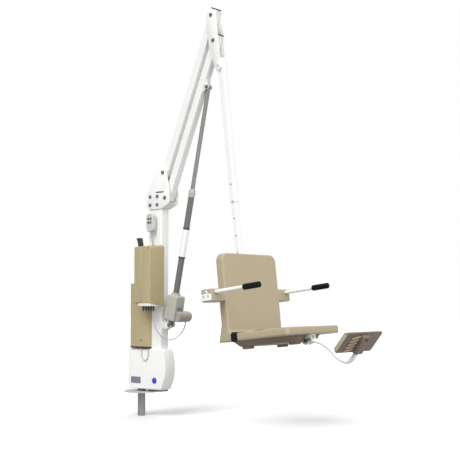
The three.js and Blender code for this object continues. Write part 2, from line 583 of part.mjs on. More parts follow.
// Carrier: outer knuckle, post and seat, built along the leaning post and hung from the arms' far pivots.
const outer = {
  x: -29, low: 1800, half: 26, thick: 8, crown: 37, right: 10, footDrop: 198, left: -66, shoulderDrop: 40,
  spacerBite: 1, sleeveDrop: 120,
};
const outerFoot = outer.low - outer.footDrop;
const post = {
  sleeve: 40, wall: 3, round: 4, sleeveLow: 788, sleeveHigh: outer.low - outer.sleeveDrop, innerLow: -30,
  innerHigh: 1090, holeFirst: 480, holePitch: 104, holeRadius: 5, holes: 5,
};
const farLow = [lowPivot[0] + arm.length * direction[0], lowPivot[1] + arm.length * direction[1]];
carrier.rotation.y = -lean;
carrier.position.set(
  farLow[0] - (outer.x * Math.cos(lean) - outer.low * Math.sin(lean)), 0,
  farLow[1] - (outer.x * Math.sin(lean) + outer.low * Math.cos(lean)),
);
function buildPost() {
  const core = post.sleeve - 2 * post.wall - 2 * gap;
  const holes = [];
  for (let i = 0; i < post.holes; i += 1) {
    holes.push(barAlongY(post.holeRadius, -post.sleeve, post.sleeve, bolt.sides, 0,
      post.holeFirst + i * post.holePitch));
  }
  const sleeve = squareTube(post.sleeve, post.sleeve, post.wall, post.round,
    post.sleeveLow, post.sleeveHigh);
  piece('post_sleeve', cut(sleeve, ...holes, plateHoles()), 'whitePaint', carrier);
  const inner = squareTube(core, core, post.wall, post.round - post.wall + gap,
    post.innerLow, post.innerHigh);
  const plate = box(core / 2 - post.wall / 2, seat.backRear - gap, -seatPlate.half, seatPlate.half,
    seatPlate.low, seatPlate.high);
  piece('post_inner', cut(join(inner, plate), ...holes, ...seatHoles()), 'whitePaint', carrier);
}
const plateBolt = { x: -5, rise: 40, radius: 6 };
const plateHoles = () => barAlongY(plateBolt.radius + gap, -post.sleeve, post.sleeve, bolt.sides,
  plateBolt.x, outerFoot + plateBolt.rise);
function outerPlate(y0, y1) {
  const high = outer.low + arm.spacing;
  const shape = new THREE.Shape();
  shape.moveTo(outer.right - outer.crown / 2, outerFoot);
  shape.lineTo(outer.right, outerFoot + outer.crown / 2);
  shape.lineTo(outer.x + outer.crown, high);
  shape.absarc(outer.x, high, outer.crown, 0, Math.PI);
  shape.lineTo(outer.left, outer.low - outer.shoulderDrop);
  shape.lineTo(-post.sleeve / 2 - overrun, outerFoot);
  const reach = post.sleeve * 2;
  const holes = [outer.low, high].map((z) => barAlongY(
    pin.radius + gap, -reach, reach, pin.sides, outer.x, z,
  ));
  const side = post.sleeve / 2 + gap;
  const inward = y0 > 0 ? [side, y0 + outer.spacerBite] : [y1 - outer.spacerBite, -side];
  const spacer = box(-post.sleeve / 2 + gap, outer.right - gap, ...inward,
    outerFoot + outer.crown / 2, post.sleeveHigh - gap);
  return cut(join(sidePlate(shape, y0, y1), spacer), ...holes, plateHoles());
}
function buildOuterKnuckle() {
  const { half, thick } = outer;
  piece('outer_plate_near', outerPlate(-half - thick, -half), 'whitePaint', carrier);
  piece('outer_plate_far', outerPlate(half, half + thick), 'whitePaint', carrier);
  const high = outer.low + arm.spacing;
  [['upper_post_pin', high], ['lower_post_pin', outer.low]].forEach(([name, z]) => piece(name,
    headedBar(pin.radius, pin.head, pin.headThick, half + thick, outer.x, z), 'darkSteel', carrier));
}

// Seat: a hollow-moulded back and pan with a wing on each side for the armrest.
const seat = {
  half: 250, backRear: 22, backFront: 74.5, high: 464, round: 48, panTop: 0, panLow: -45,
  panFront: 488, panRear: -8, ease: 9, hollow: 6, vent: 8, blend: 30, postClear: 3, trayIn: 25,
};
const wing = { out: 362, rear: -10, front: 72, low: 185, high: 257, ease: 5, armrestIn: 36 };
const armrest = {
  y: wing.out - wing.armrestIn, pivotX: 30, pivotZ: 238, tube: 11, tip: 358, gripLong: 116, grip: 17,
  slot: 12, floor: 14, rise: 0.5 * degree, rear: 13, pinRadius: 5, pinHead: 8, clear: 0.4,
};
const mount = { margin: 6, over: 1, round: 5 };
const seatBolts = { low: 110, high: 290, radius: 5 };
const seatPlate = { half: 80, low: 70, high: 310 };
const seatBoltHeights = () => [seatBolts.low, seatBolts.high];
function seatHoles() {
  return seatBoltHeights().map((z) => barAlongX(seatBolts.radius + gap, -post.sleeve, post.sleeve,
    bolt.sides, 0, z));
}
function backShape(inset) {
  const wide = 2 * (seat.half - inset);
  const high = seat.high - seat.panLow - 2 * inset;
  return roundedShape(wide, high, seat.round - inset);
}
function buildSeat() {
  const s = seat;
  const middle = (s.high + s.panLow) / 2;
  const back = frontPlate(backShape(0), s.backRear, s.backFront, s.ease, 2).translate(0, 0, middle);
  const panShape = roundedShape(s.panFront - s.panRear, 2 * s.half, s.round / 2);
  const pan = prism(panShape, s.panLow, s.panTop, s.ease, 2)
    .translate((s.panFront + s.panRear) / 2, 0, 0);
  const postHalf = post.sleeve / 2 + s.postClear;
  const postWay = box(s.panRear - overrun, s.backRear - gap, -postHalf, postHalf, s.panLow - overrun,
    s.panTop + s.ease);
  const heel = box(s.backRear + s.ease, s.backFront, -s.half + s.ease, s.half - s.ease, s.panLow + s.ease,
    s.panTop + s.blend);
  const bar = prism(roundedShape(wing.front - wing.rear, 2 * wing.out, wing.ease), wing.low, wing.high)
    .translate((wing.front + wing.rear) / 2, 0, 0);
  const middleCut = box(wing.rear - overrun, s.backRear, -s.half, s.half,
    wing.low - overrun, wing.high + overrun);
  const slots = [-1, 1].map((side) => box(armrest.pivotX - armrest.floor, wing.front + overrun,
    side * armrest.y - armrest.slot, side * armrest.y + armrest.slot,
    armrest.pivotZ - armrest.floor, wing.high + overrun));
  const pinHoles = [-1, 1].map((side) => barAlongY(armrest.pinRadius + gap, ...ordered(
    side * (armrest.y - 2 * armrest.slot), side * (wing.out + overrun),
  ), pin.sides, armrest.pivotX, armrest.pivotZ));
  const hollowBack = frontPlate(backShape(s.ease + s.hollow), s.backRear + s.hollow, s.backFront - s.hollow)
    .translate(0, 0, middle);
  const hollowPan = box(s.backFront - s.hollow, s.panFront - s.ease - s.hollow, -s.half + s.ease + s.hollow,
    s.half - s.ease - s.hollow, s.panLow + s.hollow, s.panTop - s.hollow);
  const vent = postAlongZ(s.vent, s.panLow - overrun, s.panLow + s.hollow + overrun, bolt.sides,
    (s.backFront + s.panFront) / 2, s.half / 2);
  const screws = seatBoltHeights().map((z) => barAlongX(seatBolts.radius + gap, 0,
    s.backRear + s.hollow / 2, bolt.sides, 0, z));
  const body = join(back, pan, heel, cut(bar, middleCut));
  const cuts = [hollowBack, hollowPan, vent, postWay, ...slots, ...pinHoles, ...screws];
  piece('seat_shell', cut(body, ...cuts), 'tanPlastic', carrier);
}
const tray = {
  rear: 70, shoulder: 270, front: 455, half: seat.half - seat.trayIn, noseHalf: 100, low: -80, slant: 30,
  foot: -94, footRadius: 34, rearFootX: 134, rearFootIn: 64, frontFootX: 391, frontFootY: 66,
};
function trayOutline(inset) {
  const rear = tray.rear + inset;
  const front = tray.front - inset;
  const half = tray.half - inset;
  return [
    [rear, -half], [tray.shoulder, -half], [front, -tray.noseHalf], [front, tray.noseHalf],
    [tray.shoulder, half], [rear, half],
  ];
}
function buildTray() {
  const t = tray;
  const body = loft(trayOutline(t.slant), trayOutline(0), t.low, seat.panLow - gap);
  const feet = [];
  const spots = [[t.rearFootX, t.half - t.rearFootIn], [t.frontFootX, t.frontFootY]];
  spots.forEach(([x, y]) => [-1, 1].forEach((side) => {
    feet.push(postAlongZ(t.footRadius, t.foot, t.low + overrun, anchor.sides, x, side * y));
  }));
  const notchHalf = footrest.bracketHalf + bolt.headThick * 2;
  const notch = box(t.front - footrest.seatIn, t.front + overrun, -notchHalf,
    notchHalf, t.foot - overrun, seat.panLow + overrun);
  piece('seat_tray', cut(join(body, ...feet), notch), 'shadeTan', carrier);
}

// Armrests: a tube pinned in each wing's slot, with a foam grip.
function buildArmrests() {
  const a = armrest;
  [['near', -1], ['far', 1]].forEach(([side, sign]) => {
    const lay = (geometry) => geometry.rotateY(-a.rise).translate(a.pivotX, sign * a.y, a.pivotZ);
    const gripStart = a.tip - a.gripLong;
    const half = a.slot - a.clear;
    const rail = barAlongX(a.tube, 0, a.tip - a.grip, anchor.sides);
    const tube = join(rail, barAlongY(a.rear, -half, half, pin.sides));
    const bore = barAlongY(a.pinRadius + gap, -a.slot - overrun, a.slot + overrun, pin.sides);
    piece(`armrest_${side}`, lay(cut(tube, bore)), 'whitePaint', carrier);
    const grip = cut(barAlongX(a.grip, gripStart, a.tip, anchor.sides),
      barAlongX(a.tube + gap, gripStart - overrun, a.tip - a.grip + gap, anchor.sides));
    piece(`armrest_grip_${side}`, lay(grip), 'foamBlack', carrier);
    const face = sign * (wing.out + gap);
    const inner = sign * (a.y - 2 * a.slot + gap);
    const outerEnd = face + sign * a.pinHead;
    const rod = barAlongY(a.pinRadius, ...ordered(inner, outerEnd), pin.sides, a.pivotX, a.pivotZ);
    const low = wing.low + mount.margin;
    const high = a.pivotZ + a.pinRadius + mount.over;
    const wide = wing.front - wing.rear - 2 * mount.margin;
    const plate = sidePlate(roundedShape(wide, high - low, mount.round), ...ordered(face, outerEnd))
      .translate((wing.front + wing.rear) / 2, 0, (low + high) / 2);
    piece(`armrest_mount_${side}`, join(rod, plate), 'whitePaint', carrier);
  });
}

// Footrest: a J tube hinged under the pan, carrying the foot panel, and locked by a pull pin.
const footrest = {
  pivotX: 434, pivotZ: -82, bracketHalf: 22, bracketThick: 5, seatIn: 77, tube: 12.7, boltRadius: 6,
  lobe: 20, bracketRear: 392, bracketFront: 474, plateHigh: 6, lockX: 30, lockZ: 8, lockRadius: 5,
  knob: 9, knobLong: 22, tongue: 14, bow: 103,
};
const panel = {
  half: 172, long: 134, thick: 12, tilt: 51.4 * degree, rim: 10, rimHigh: 12, block: 36, blockDeep: 34,
};
const panelReach = { out: 339, down: 37.4 };
const bowShares = [
  [0.2, -0.02], [0.39, 0.19], [0.54, 0.5], [0.64, 0.78], [0.745, 0.94], [0.845, 1], [0.935, 0.9],
];
function carrierPoint(x, z) {
  return [carrier.position.x + x * Math.cos(lean) - z * Math.sin(lean),
    carrier.position.z + x * Math.sin(lean) + z * Math.cos(lean)];
}
const foldPivot = carrierPoint(footrest.pivotX, footrest.pivotZ);
const panelCentre = carrierPoint(footrest.pivotX + panelReach.out, footrest.pivotZ - panelReach.down);
function buildFootrest() {
  const f = footrest;
  const half = f.bracketHalf;
  const top = seat.panLow - gap;
  const cheekOf = (y0, y1) => {
    const shape = polygon([
      [f.bracketRear, top], [f.bracketRear, top - f.plateHigh], [f.pivotX - f.lobe, f.pivotZ],
      [f.pivotX - f.lobe / 2, f.pivotZ - f.lobe], [f.pivotX + f.lobe, f.pivotZ - f.lobe],
      [f.bracketFront, f.pivotZ], [f.bracketFront, top],
    ]);
    return sidePlate(shape, y0, y1);
  };
  const reach = half + overrun;
  const holes = [
    barAlongY(f.boltRadius + gap, -reach, reach, bolt.sides, f.pivotX, f.pivotZ),
    barAlongY(f.lockRadius + gap, -reach, reach, bolt.sides, f.pivotX + f.lockX, f.pivotZ + f.lockZ),
  ];
  const saddle = box(f.bracketRear, f.bracketFront, -half, half, top - f.bracketThick, top);
  const cheeks = [cheekOf(-half, -half + f.bracketThick), cheekOf(half - f.bracketThick, half)];
  piece('footrest_bracket', cut(join(saddle, ...cheeks), ...holes), 'whitePaint', carrier);
  const hinge = headedBar(f.boltRadius, bolt.head, bolt.headThick, half, f.pivotX, f.pivotZ, bolt.sides);
  piece('footrest_bolt', hinge, 'darkSteel', carrier);
  buildFoldingPart();
  buildPullPin();
}
// The panel's own frame has its length up Z and the tube's side, its underside, towards +X.
function layPanel(geometry) {
  return geometry.rotateY(Math.PI / 2 - panel.tilt).translate(panelCentre[0], 0, panelCentre[1]);
}
function buildFoldingPart() {
  const p = panel;
  const f = footrest;
  const board = frontPlate(roundedShape(2 * p.half, p.long, p.rim), -p.thick, 0, p.thick / 4, 1);
  const sideRim = [-1, 1].map((side) => box(-p.thick - p.rimHigh, 0,
    ...ordered(side * (p.half - p.rim), side * p.half), -p.long / 2 + p.rim, p.long / 2 - p.rim));
  const block = box(-p.thick / 2, p.blockDeep, -p.block, p.block, -p.long / 2 + p.rim, p.long / 2 - p.rim);
  const socketX = p.blockDeep / 2;
  const socket = postAlongZ(f.tube + gap, -p.long, 0, anchor.sides, socketX);
  piece('footrest_panel', layPanel(cut(join(board, ...sideRim, block), socket)), 'shadeTan');
  const [x0, z0] = foldPivot;
  const slope = [Math.cos(p.tilt), Math.sin(p.tilt)];
  const across = [slope[1], -slope[0]];
  const seatOf = (along) => [panelCentre[0] + slope[0] * along + across[0] * socketX, 0,
    panelCentre[1] + slope[1] * along + across[1] * socketX];
  const end = seatOf(-p.rim);
  const mouth = seatOf(-p.long / 2);
  const lead = seatOf(-p.long / 2 - p.rim);
  const path = [[x0 - f.boltRadius, 0, z0 + f.tube / 4], ...bowShares.map(([along, drop]) => [
    x0 + along * (lead[0] - x0), 0, z0 - drop * f.bow]), lead, mouth, end];
  const tube = bentTube(path, f.tube, anchor.sides / 4, tubeSteps);
  const tongueHalf = f.bracketHalf - f.bracketThick - gap;
  const tongue = barAlongY(f.tongue, -tongueHalf, tongueHalf, pin.sides, x0, z0);
  const bore = barAlongY(f.boltRadius + bolt.running, -f.bracketHalf, f.bracketHalf, bolt.sides, x0, z0);
  piece('footrest_tube', cut(join(tube, tongue), bore), 'whitePaint');
}
function buildPullPin() {
  const f = footrest;
  const [x, z] = carrierPoint(f.pivotX + f.lockX, f.pivotZ + f.lockZ);
  const face = -f.bracketHalf - gap;
  const stem = barAlongY(f.lockRadius, face - f.knobLong, -f.tube - gap, bolt.sides, x, z);
  const knob = barAlongY(f.knob, face - f.knobLong, face, pin.sides, x, z);
  piece('pull_pin', join(stem, knob), 'darkSteel');
}

// Lap belt, lying flat across the pan and round its edges, with its buckle.
const belt = { rear: 88, front: 133, thick: 2, under: 24, buckleHalf: 34, buckleHigh: 14, margin: 4 };
function buildBelt() {
  const s = seat;
  const tall = s.panTop - s.panLow;
  const band = (grow) => roundedShape(2 * (s.half + grow), tall + 2 * grow, s.ease + grow);
  const middle = (s.panTop + s.panLow) / 2;
  const outerBand = frontPlate(band(gap + belt.thick), belt.rear, belt.front).translate(0, 0, middle);
  const innerBand = frontPlate(band(gap), belt.rear - overrun, belt.front + overrun).translate(0, 0, middle);
  const away = box(belt.rear - overrun, belt.front + overrun, -s.half + belt.under, s.half - belt.under,
    s.panLow - s.ease, s.panLow + s.ease);
  const buckle = box(belt.rear - belt.margin, belt.front + belt.margin, -belt.buckleHalf, belt.buckleHalf,
    s.panTop + gap, s.panTop + belt.buckleHigh);
  piece('lap_belt', join(cut(outerBand, innerBand, away), buckle), 'blackPlastic', carrier);
}

// Cables: to the actuator's motor, to the handset, and the rotation motor's loop below its cover.
const cord = { radius: 3.5, thin: 2.6, sides: 4, steps: 24, shortSteps: 14 };
const motorCableRoute = [
  [196, -96, 515.3], [198, -96, 478], [206, -93, 425], [226, -81, 380], [247, -60, 350.5],
  [273, -32, 337], [295, 0, 346], [308, 30, 371.5], [316, 52, 401],
];
const handsetCordRoute = [
  [140, -60, 1014.6], [140, -59, 985], [140, -52, 955], [140, -46, 930], [140, -46, 900],
  [140, -46, 860.4],
];
const rotationCableRoute = [
  [52, -54.5, 279.6], [52, -54.5, 250], [60, -54.5, 217], [82, -54.5, 203], [103, -54.5, 217],
  [111, -54.5, 250], [111, -54.5, 279.6],
];
function buildCords() {
  const along = [Math.sin(actuatorLean), Math.cos(actuatorLean)];
  const under = motorCan.z - motorCan.radius - gap;
  const end = [foot[0] + motorCan.x * along[1] + under * along[0], motorCan.cableAt,
    foot[1] - motorCan.x * along[0] + under * along[1]];
  const before = [end[0] - along[0] * cord.radius * 4, end[1], end[2] - along[1] * cord.radius * 4];
  const motorCable = bentTube([...motorCableRoute, before, end], cord.radius, cord.sides, cord.steps);
  piece('motor_cable', motorCable, 'paleCord');
  piece('handset_cord', bentTube(handsetCordRoute, cord.radius, cord.sides, cord.shortSteps), 'paleCord');
  piece('rotation_cable', bentTube(rotationCableRoute, cord.thin, cord.sides, cord.shortSteps), 'paleCord');
}

buildAnchor();
buildTurningGear();
buildMast();
buildHousing();
buildRotationDrive();
buildLowerCover();
buildControls();
buildUpperCover();
buildHandset();
buildInnerKnuckle();
buildArms();
buildActuator();
buildFootBracket();
buildPost();
buildOuterKnuckle();
buildSeat();
buildTray();
buildArmrests();
buildFootrest();
buildBelt();
buildCords();

export default parts;
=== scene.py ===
# A pool patient lift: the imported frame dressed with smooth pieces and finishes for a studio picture.
# Metres, +Z up, +X towards the seat. Heights in the machine are above the deck.
import json
import math

import bpy
from mathutils import Matrix, Vector

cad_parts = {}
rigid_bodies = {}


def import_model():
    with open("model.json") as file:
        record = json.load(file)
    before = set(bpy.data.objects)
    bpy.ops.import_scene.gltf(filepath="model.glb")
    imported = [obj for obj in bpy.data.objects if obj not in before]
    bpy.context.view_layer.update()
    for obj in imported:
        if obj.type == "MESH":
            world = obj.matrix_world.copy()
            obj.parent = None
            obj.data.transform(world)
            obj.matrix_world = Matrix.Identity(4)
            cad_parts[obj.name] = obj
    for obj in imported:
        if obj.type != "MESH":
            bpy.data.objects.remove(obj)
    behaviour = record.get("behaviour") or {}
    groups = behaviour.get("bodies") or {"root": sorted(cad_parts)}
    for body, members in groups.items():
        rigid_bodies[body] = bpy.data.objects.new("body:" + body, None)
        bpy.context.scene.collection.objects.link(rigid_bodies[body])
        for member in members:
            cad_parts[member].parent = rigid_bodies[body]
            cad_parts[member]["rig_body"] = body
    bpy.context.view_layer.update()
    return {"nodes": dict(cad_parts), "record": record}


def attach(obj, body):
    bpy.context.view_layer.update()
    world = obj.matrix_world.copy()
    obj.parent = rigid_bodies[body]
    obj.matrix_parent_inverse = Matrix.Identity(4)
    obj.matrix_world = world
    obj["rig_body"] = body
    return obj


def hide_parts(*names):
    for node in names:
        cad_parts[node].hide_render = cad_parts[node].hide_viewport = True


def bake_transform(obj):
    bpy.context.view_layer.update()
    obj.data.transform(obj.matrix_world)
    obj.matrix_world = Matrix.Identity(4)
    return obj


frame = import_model()
nodes = frame["nodes"]
print("frame loaded:", len(nodes), "nodes")

gap = 0.0003  # left between pieces that lie beside each other
touch = 0.001  # places nearer than this are picked as one
past = 0.02  # how far a cutting tool reaches past what it cuts
quarter = math.pi / 2
toNear, toFar = (Matrix.Rotation(turn, 4, "X") for turn in (quarter, -quarter))
toRight, toLeft = (Matrix.Rotation(turn, 4, "Y") for turn in (quarter, -quarter))
deckHigh = 0.15
lean = math.radians(6.6)
armAngle = math.radians(67.4)
armLength = 1.022
pivotSpacing = 0.163
lowPivot = Vector((0.238, 0, 1.227 + deckHigh))
highPivot = lowPivot + pivotSpacing * Vector((-math.sin(lean), 0, math.cos(lean)))
alongArm = Vector((math.cos(armAngle), 0, math.sin(armAngle)))
belowArm = Vector((math.sin(armAngle), 0, -math.cos(armAngle)))
footPivot = Vector((0.258, 0, 0.428 + deckHigh))
rodOff, rodAlong = 0.0465, 0.742
rodPivot = lowPivot + rodAlong * alongArm + rodOff * belowArm
actuatorLean = math.atan2(rodPivot.x - footPivot.x, rodPivot.z - footPivot.z)
actuatorReach = (rodPivot - footPivot).length
outerPivot = Vector((-0.029, 0, 1.8))
panelTilt = math.radians(51.4)


def at(x, y, z):
    return Matrix.Translation((x, y, z))


def leant(point, angle):
    return Matrix.Translation(point) @ Matrix.Rotation(angle, 4, "Y")


# Each part of the machine has its own axes, in which its pieces are drawn
onDeck = leant((0, 0, deckHigh), 0)
onCarrier = leant(lowPivot + armLength * alongArm - Matrix.Rotation(-lean, 4, "Y") @ outerPivot, -lean)
onActuator = leant(footPivot, actuatorLean)
onUpperArm = leant(highPivot, quarter - armAngle)
onLowerArm = leant(lowPivot, quarter - armAngle)
onPanel = leant((1.648, 0, 0.356 + deckHigh), quarter - panelTilt)

# Camera
cameraSetup = {
    "place": (4.5836, -4.5823, 0.7342), "azimuth": 40, "rise": math.atan(0.07), "lens": 78.26, "sensor": 36,
}


def addCamera():
    c = cameraSetup
    side = math.radians(c["azimuth"])
    level = Vector((-math.sin(side), math.cos(side), 0))
    view = level * math.cos(c["rise"]) + Vector((0, 0, math.sin(c["rise"])))
    camera = bpy.data.objects.new("camera", bpy.data.cameras.new("camera"))
    bpy.context.scene.collection.objects.link(camera)
    camera.data.sensor_width = c["sensor"]
    camera.data.lens = c["lens"]
    camera.data.clip_end = 100
    camera.location = c["place"]
    camera.rotation_euler = view.to_track_quat("-Z", "Y").to_euler()
    bpy.context.scene.camera = camera


addCamera()
print("camera set")


# Shader wiring
class Wire:
    # One socket of a material, which takes part in sums.
    def __init__(self, paint, socket):
        self.paint = paint
        self.socket = socket

    def worked(self, operation, first, second):
        return self.paint.node("ShaderNodeMath", {"operation": operation}, {0: first, 1: second})

    def __add__(self, other):
        return self.worked("ADD", self, other)

    def __radd__(self, other):
        return self.worked("ADD", other, self)

    def __mul__(self, other):
        return self.worked("MULTIPLY", self, other)

    def __rmul__(self, other):
        return self.worked("MULTIPLY", other, self)


class Paint:
    # The nodes of a material or a world, and the place of the point that is shaded.
    def __init__(self, owner):
        owner.use_nodes = True
        self.owner = owner
        self.tree = owner.node_tree
        self.tree.nodes.clear()
        self.place = self.node("ShaderNodeTexCoord", output="Object")

    def node(self, kind, settings=None, inputs=None, output=0):
        made = self.tree.nodes.new(kind)
        for key, value in (settings or {}).items():
            setattr(made, key, value)
        for key, value in (inputs or {}).items():
            if isinstance(value, Wire):
                self.tree.links.new(value.socket, made.inputs[key])
            else:
                made.inputs[key].default_value = value
        return Wire(self, made.outputs[output] if made.outputs else None)

    def noise(self, scale, detail=3.0, rough=0.5, place=None):
        return self.node("ShaderNodeTexNoise", None, {
            "Vector": place or self.place, "Scale": scale, "Detail": detail, "Roughness": rough,
        })

    def cells(self, scale):
        return self.node("ShaderNodeTexVoronoi", None, {"Vector": self.place, "Scale": scale}, "Distance")

    def wave(self, direction, scale):
        inputs = {"Vector": self.place, "Scale": scale}
        return self.node("ShaderNodeTexWave", {"bands_direction": direction}, inputs)

    def stretched(self, scale):
        return self.node("ShaderNodeMapping", None, {"Vector": self.place, "Scale": scale})

    def level(self, value, low, high, toHigh=1):
        # Runs from 0 where the value is low to toHigh where it is high.
        return self.node("ShaderNodeMapRange", None, {
            "Value": value, "From Min": low, "From Max": high, "To Min": 0, "To Max": toHigh,
        })

    def mixed(self, factor, first, second):
        return self.node("ShaderNodeMix", {"data_type": "RGBA"}, {0: factor, 6: first, 7: second}, 2)

    def bump(self, height, distance, strength=0.5):
        return self.node("ShaderNodeBump", None, {"Height": height, "Distance": distance, "Strength": strength})

    def backdropRays(self):
        # 1 for the rays that see the background, in the camera, a reflection or glass.
        rays = ("Is Camera Ray", "Is Glossy Ray", "Is Transmission Ray")
        return sum(self.node("ShaderNodeLightPath", output=ray) for ray in rays)

    def done(self, colour, roughness, metallic=0.0, normal=None, **fixed):
        inputs = {"Base Color": colour, "Roughness": roughness, "Metallic": metallic}
        if normal:
            inputs["Normal"] = normal
        inputs.update({key.replace("_", " "): value for key, value in fixed.items()})
        shader = self.node("ShaderNodeBsdfPrincipled", None, inputs)
        self.node("ShaderNodeOutputMaterial", None, {"Surface": shader})
        return self.owner


def newPaint(name):
    return Paint(bpy.data.materials.new(name))


def colour(red, green, blue):
    # A colour given as it shows on a screen, from 0 to 255.
    parts = [value / 255 for value in (red, green, blue)]
    return (*[p / 12.92 if p <= 0.04045 else ((p + 0.055) / 1.055) ** 2.4 for p in parts], 1)


def shaded(tone, share):
    return (*[value * share for value in tone[:3]], 1)


# Finishes
def powderCoat(name, tone):
    look = {"peel": 420, "peelHigh": 0.00012, "cloud": 3.5, "scuff": 38, "gloss": 0.3}
    paint = newPaint(name)
    cloud = paint.noise(look["cloud"], 4)
    scuff = paint.level(paint.noise(look["scuff"], 6, 0.7), 0.62, 0.8)
    tint = paint.mixed(cloud, tone, shaded(tone, 0.965))
    tint = paint.mixed(scuff * 0.25, tint, shaded(tone, 0.86))
    rough = look["gloss"] + cloud * 0.1 + scuff * 0.12
    return paint.done(tint, rough, 0, paint.bump(paint.noise(look["peel"], 2), look["peelHigh"], 0.6))


def moulded(name, tone, grain=1100, grainHigh=0.00012, rough=0.5, mottle=0.93):
    look = {"blotch": 5.5, "speck": 260}
    paint = newPaint(name)
    blotch = paint.noise(look["blotch"], 5, 0.6)
    speck = paint.level(paint.noise(look["speck"], 3, 0.6), 0.55, 0.75)
    tint = paint.mixed(blotch, tone, shaded(tone, mottle))
    tint = paint.mixed(speck * 0.35, tint, shaded(tone, 0.9))
    fine = paint.cells(grain) + paint.noise(grain * 0.6, 2)
    return paint.done(tint, rough + blotch * 0.1, 0, paint.bump(fine, grainHigh))


def brushed(name, tone, rough, metallic, stretch=(90, 90, 3)):
    paint = newPaint(name)
    streak = paint.noise(9, 6, 0.7, paint.stretched(stretch))
    tint = paint.mixed(streak, shaded(tone, 0.86), shaded(tone, 1.08))
    tint = paint.mixed(paint.level(paint.noise(7, 4), 0.55, 0.75, 0.4), tint, shaded(tone, 0.8))
    return paint.done(tint, rough + streak * 0.14, metallic, paint.bump(streak, 0.00008))


def foam(name, tone):
    paint = newPaint(name)
    cloud = paint.noise(60, 4)
    tint = paint.mixed(cloud, tone, shaded(tone, 1.7))
    pores = paint.bump(paint.cells(950) + cloud, 0.0003, 0.7)
    return paint.done(tint, 0.72 + cloud * 0.1, 0, pores, Specular_IOR_Level=0.12)


def woven(name, tone):
    # Webbing of the lap belt: ribs across its width with a fine twill between. The tone follows the weave's
    # height: painted highlight on the raised threads and painted shade in the grooves, over the weave's own
    # relief.
    paint = newPaint(name)
    height = paint.wave("Y", 150) * 0.6 + paint.wave("DIAGONAL", 260) * 0.4
    tint = paint.mixed(height, shaded(tone, 0.7), shaded(tone, 1.9))
    return paint.done(tint, 0.62 + height * 0.12, 0, paint.bump(height, 0.0004, 0.8), Specular_IOR_Level=0.12)


def jacket(name, tone):
    paint = newPaint(name)
    cloud = paint.noise(25, 4)
    tint = paint.mixed(cloud, tone, shaded(tone, 0.9))
    return paint.done(tint, 0.45 + cloud * 0.12, 0, paint.bump(paint.noise(700, 2), 0.00008))


white = colour(247, 247, 245)
finishes = {
    "white_paint": powderCoat("whitePowderCoat", white),
    "grey_steel": brushed("greySteel", colour(138, 138, 134), 0.42, 0.35),
    "bright_steel": brushed("stainlessSteel", colour(184, 185, 184), 0.28, 0.75, (3, 90, 90)),
    "dark_steel": brushed("darkSteel", colour(74, 74, 76), 0.38, 0.7),
    "bush_plastic": moulded("bushPlastic", colour(58, 58, 60)),
    "tan_plastic": moulded("tanPlastic", colour(175, 162, 135), rough=0.46),
    "dark_tan_plastic": moulded("shadeTanPlastic", colour(164, 144, 118), rough=0.52),
    "white_plastic": moulded("whitePlastic", white, 900, 0.00006, 0.32, 0.98),
    "black_plastic": moulded("blackPlastic", colour(27, 27, 29), 800, 0.0001, 0.42, 1.25),
    "grey_plastic": moulded("greyPlastic", colour(186, 183, 172), 900, 0.0001, 0.42),
    "grip_foam": foam("gripFoam", colour(14, 14, 15)),
    "webbing": woven("beltWebbing", colour(15, 15, 16)),
    "cable_jacket": jacket("cableJacket", colour(186, 187, 186)),
    "cover": moulded("coverPlastic", colour(179, 165, 127), rough=0.44),
    "blueCap": moulded("blueCapPlastic", colour(50, 58, 176), 900, 0.00006, 0.3, 0.95),
    "plate": brushed("platePaint", colour(122, 128, 140), 0.4, 0.5, (90, 3, 90)),
    "darkPlug": moulded("darkPlugPlastic", colour(74, 66, 62), 900, 0.0001, 0.5),
    "rod": brushed("rodSteel", colour(138, 137, 133), 0.3, 0.5),
    "actuatorTube": brushed("tubeSteel", colour(110, 109, 106), 0.4, 0.2),
    "motor": moulded("motorPlastic", colour(168, 164, 153), 900, 0.0001, 0.42),
    "handset": moulded("handsetPlastic", colour(206, 205, 197), 900, 0.0001, 0.42),
    "bolt": brushed("boltSteel", colour(112, 112, 114), 0.3, 0.8, (60, 60, 60)),
    # The tray's tan is darkened to a brown that stands in for the shade under the seat pan: painted shade.
    "tray": moulded("trayPaintedShadeTan", colour(122, 106, 88), rough=0.55),
    # The footrest panel's tan is darkened to a brown that stands in for the shade on its underside: painted
    # shade. Its ribs and rim band keep the plain tan.
    "panel": moulded("panelPaintedShadeTan", colour(108, 94, 84), rough=0.52),
    "panelRib": moulded("panelRibPlastic", colour(176, 159, 138), rough=0.5),
}
print("finishes made:", len(finishes))


# Modelling helpers
def deselectAll():
    if bpy.context.object and bpy.context.object.mode != "OBJECT":
        bpy.ops.object.mode_set(mode="OBJECT")
    bpy.ops.object.select_all(action="DESELECT")


def activate(piece):
    deselectAll()
    piece.select_set(True)
    bpy.context.view_layer.objects.active = piece


def applyPlace(piece):
    activate(piece)
    bpy.ops.object.transform_apply(location=True, rotation=True, scale=True)


def settle(piece, place):
    piece.matrix_world = place
    applyPlace(piece)
    return piece


def newest(name):
    piece = bpy.context.active_object
    piece.name = name
    return piece


def edit(piece, kind):
    activate(piece)
    bpy.ops.object.mode_set(mode="EDIT")
    bpy.ops.mesh.select_mode(type=kind)


def editAll(piece):
    edit(piece, "FACE")
    bpy.ops.mesh.select_all(action="SELECT")


def editFaces(piece, wanted):
    # Opens edit mode with only the faces that the test picks by their centre and normal.
    mesh = piece.data
    for part in (mesh.vertices, mesh.edges):
        part.foreach_set("select", [False] * len(part))
    for face in mesh.polygons:
        face.select = bool(wanted(face.center, face.normal))
    edit(piece, "FACE")


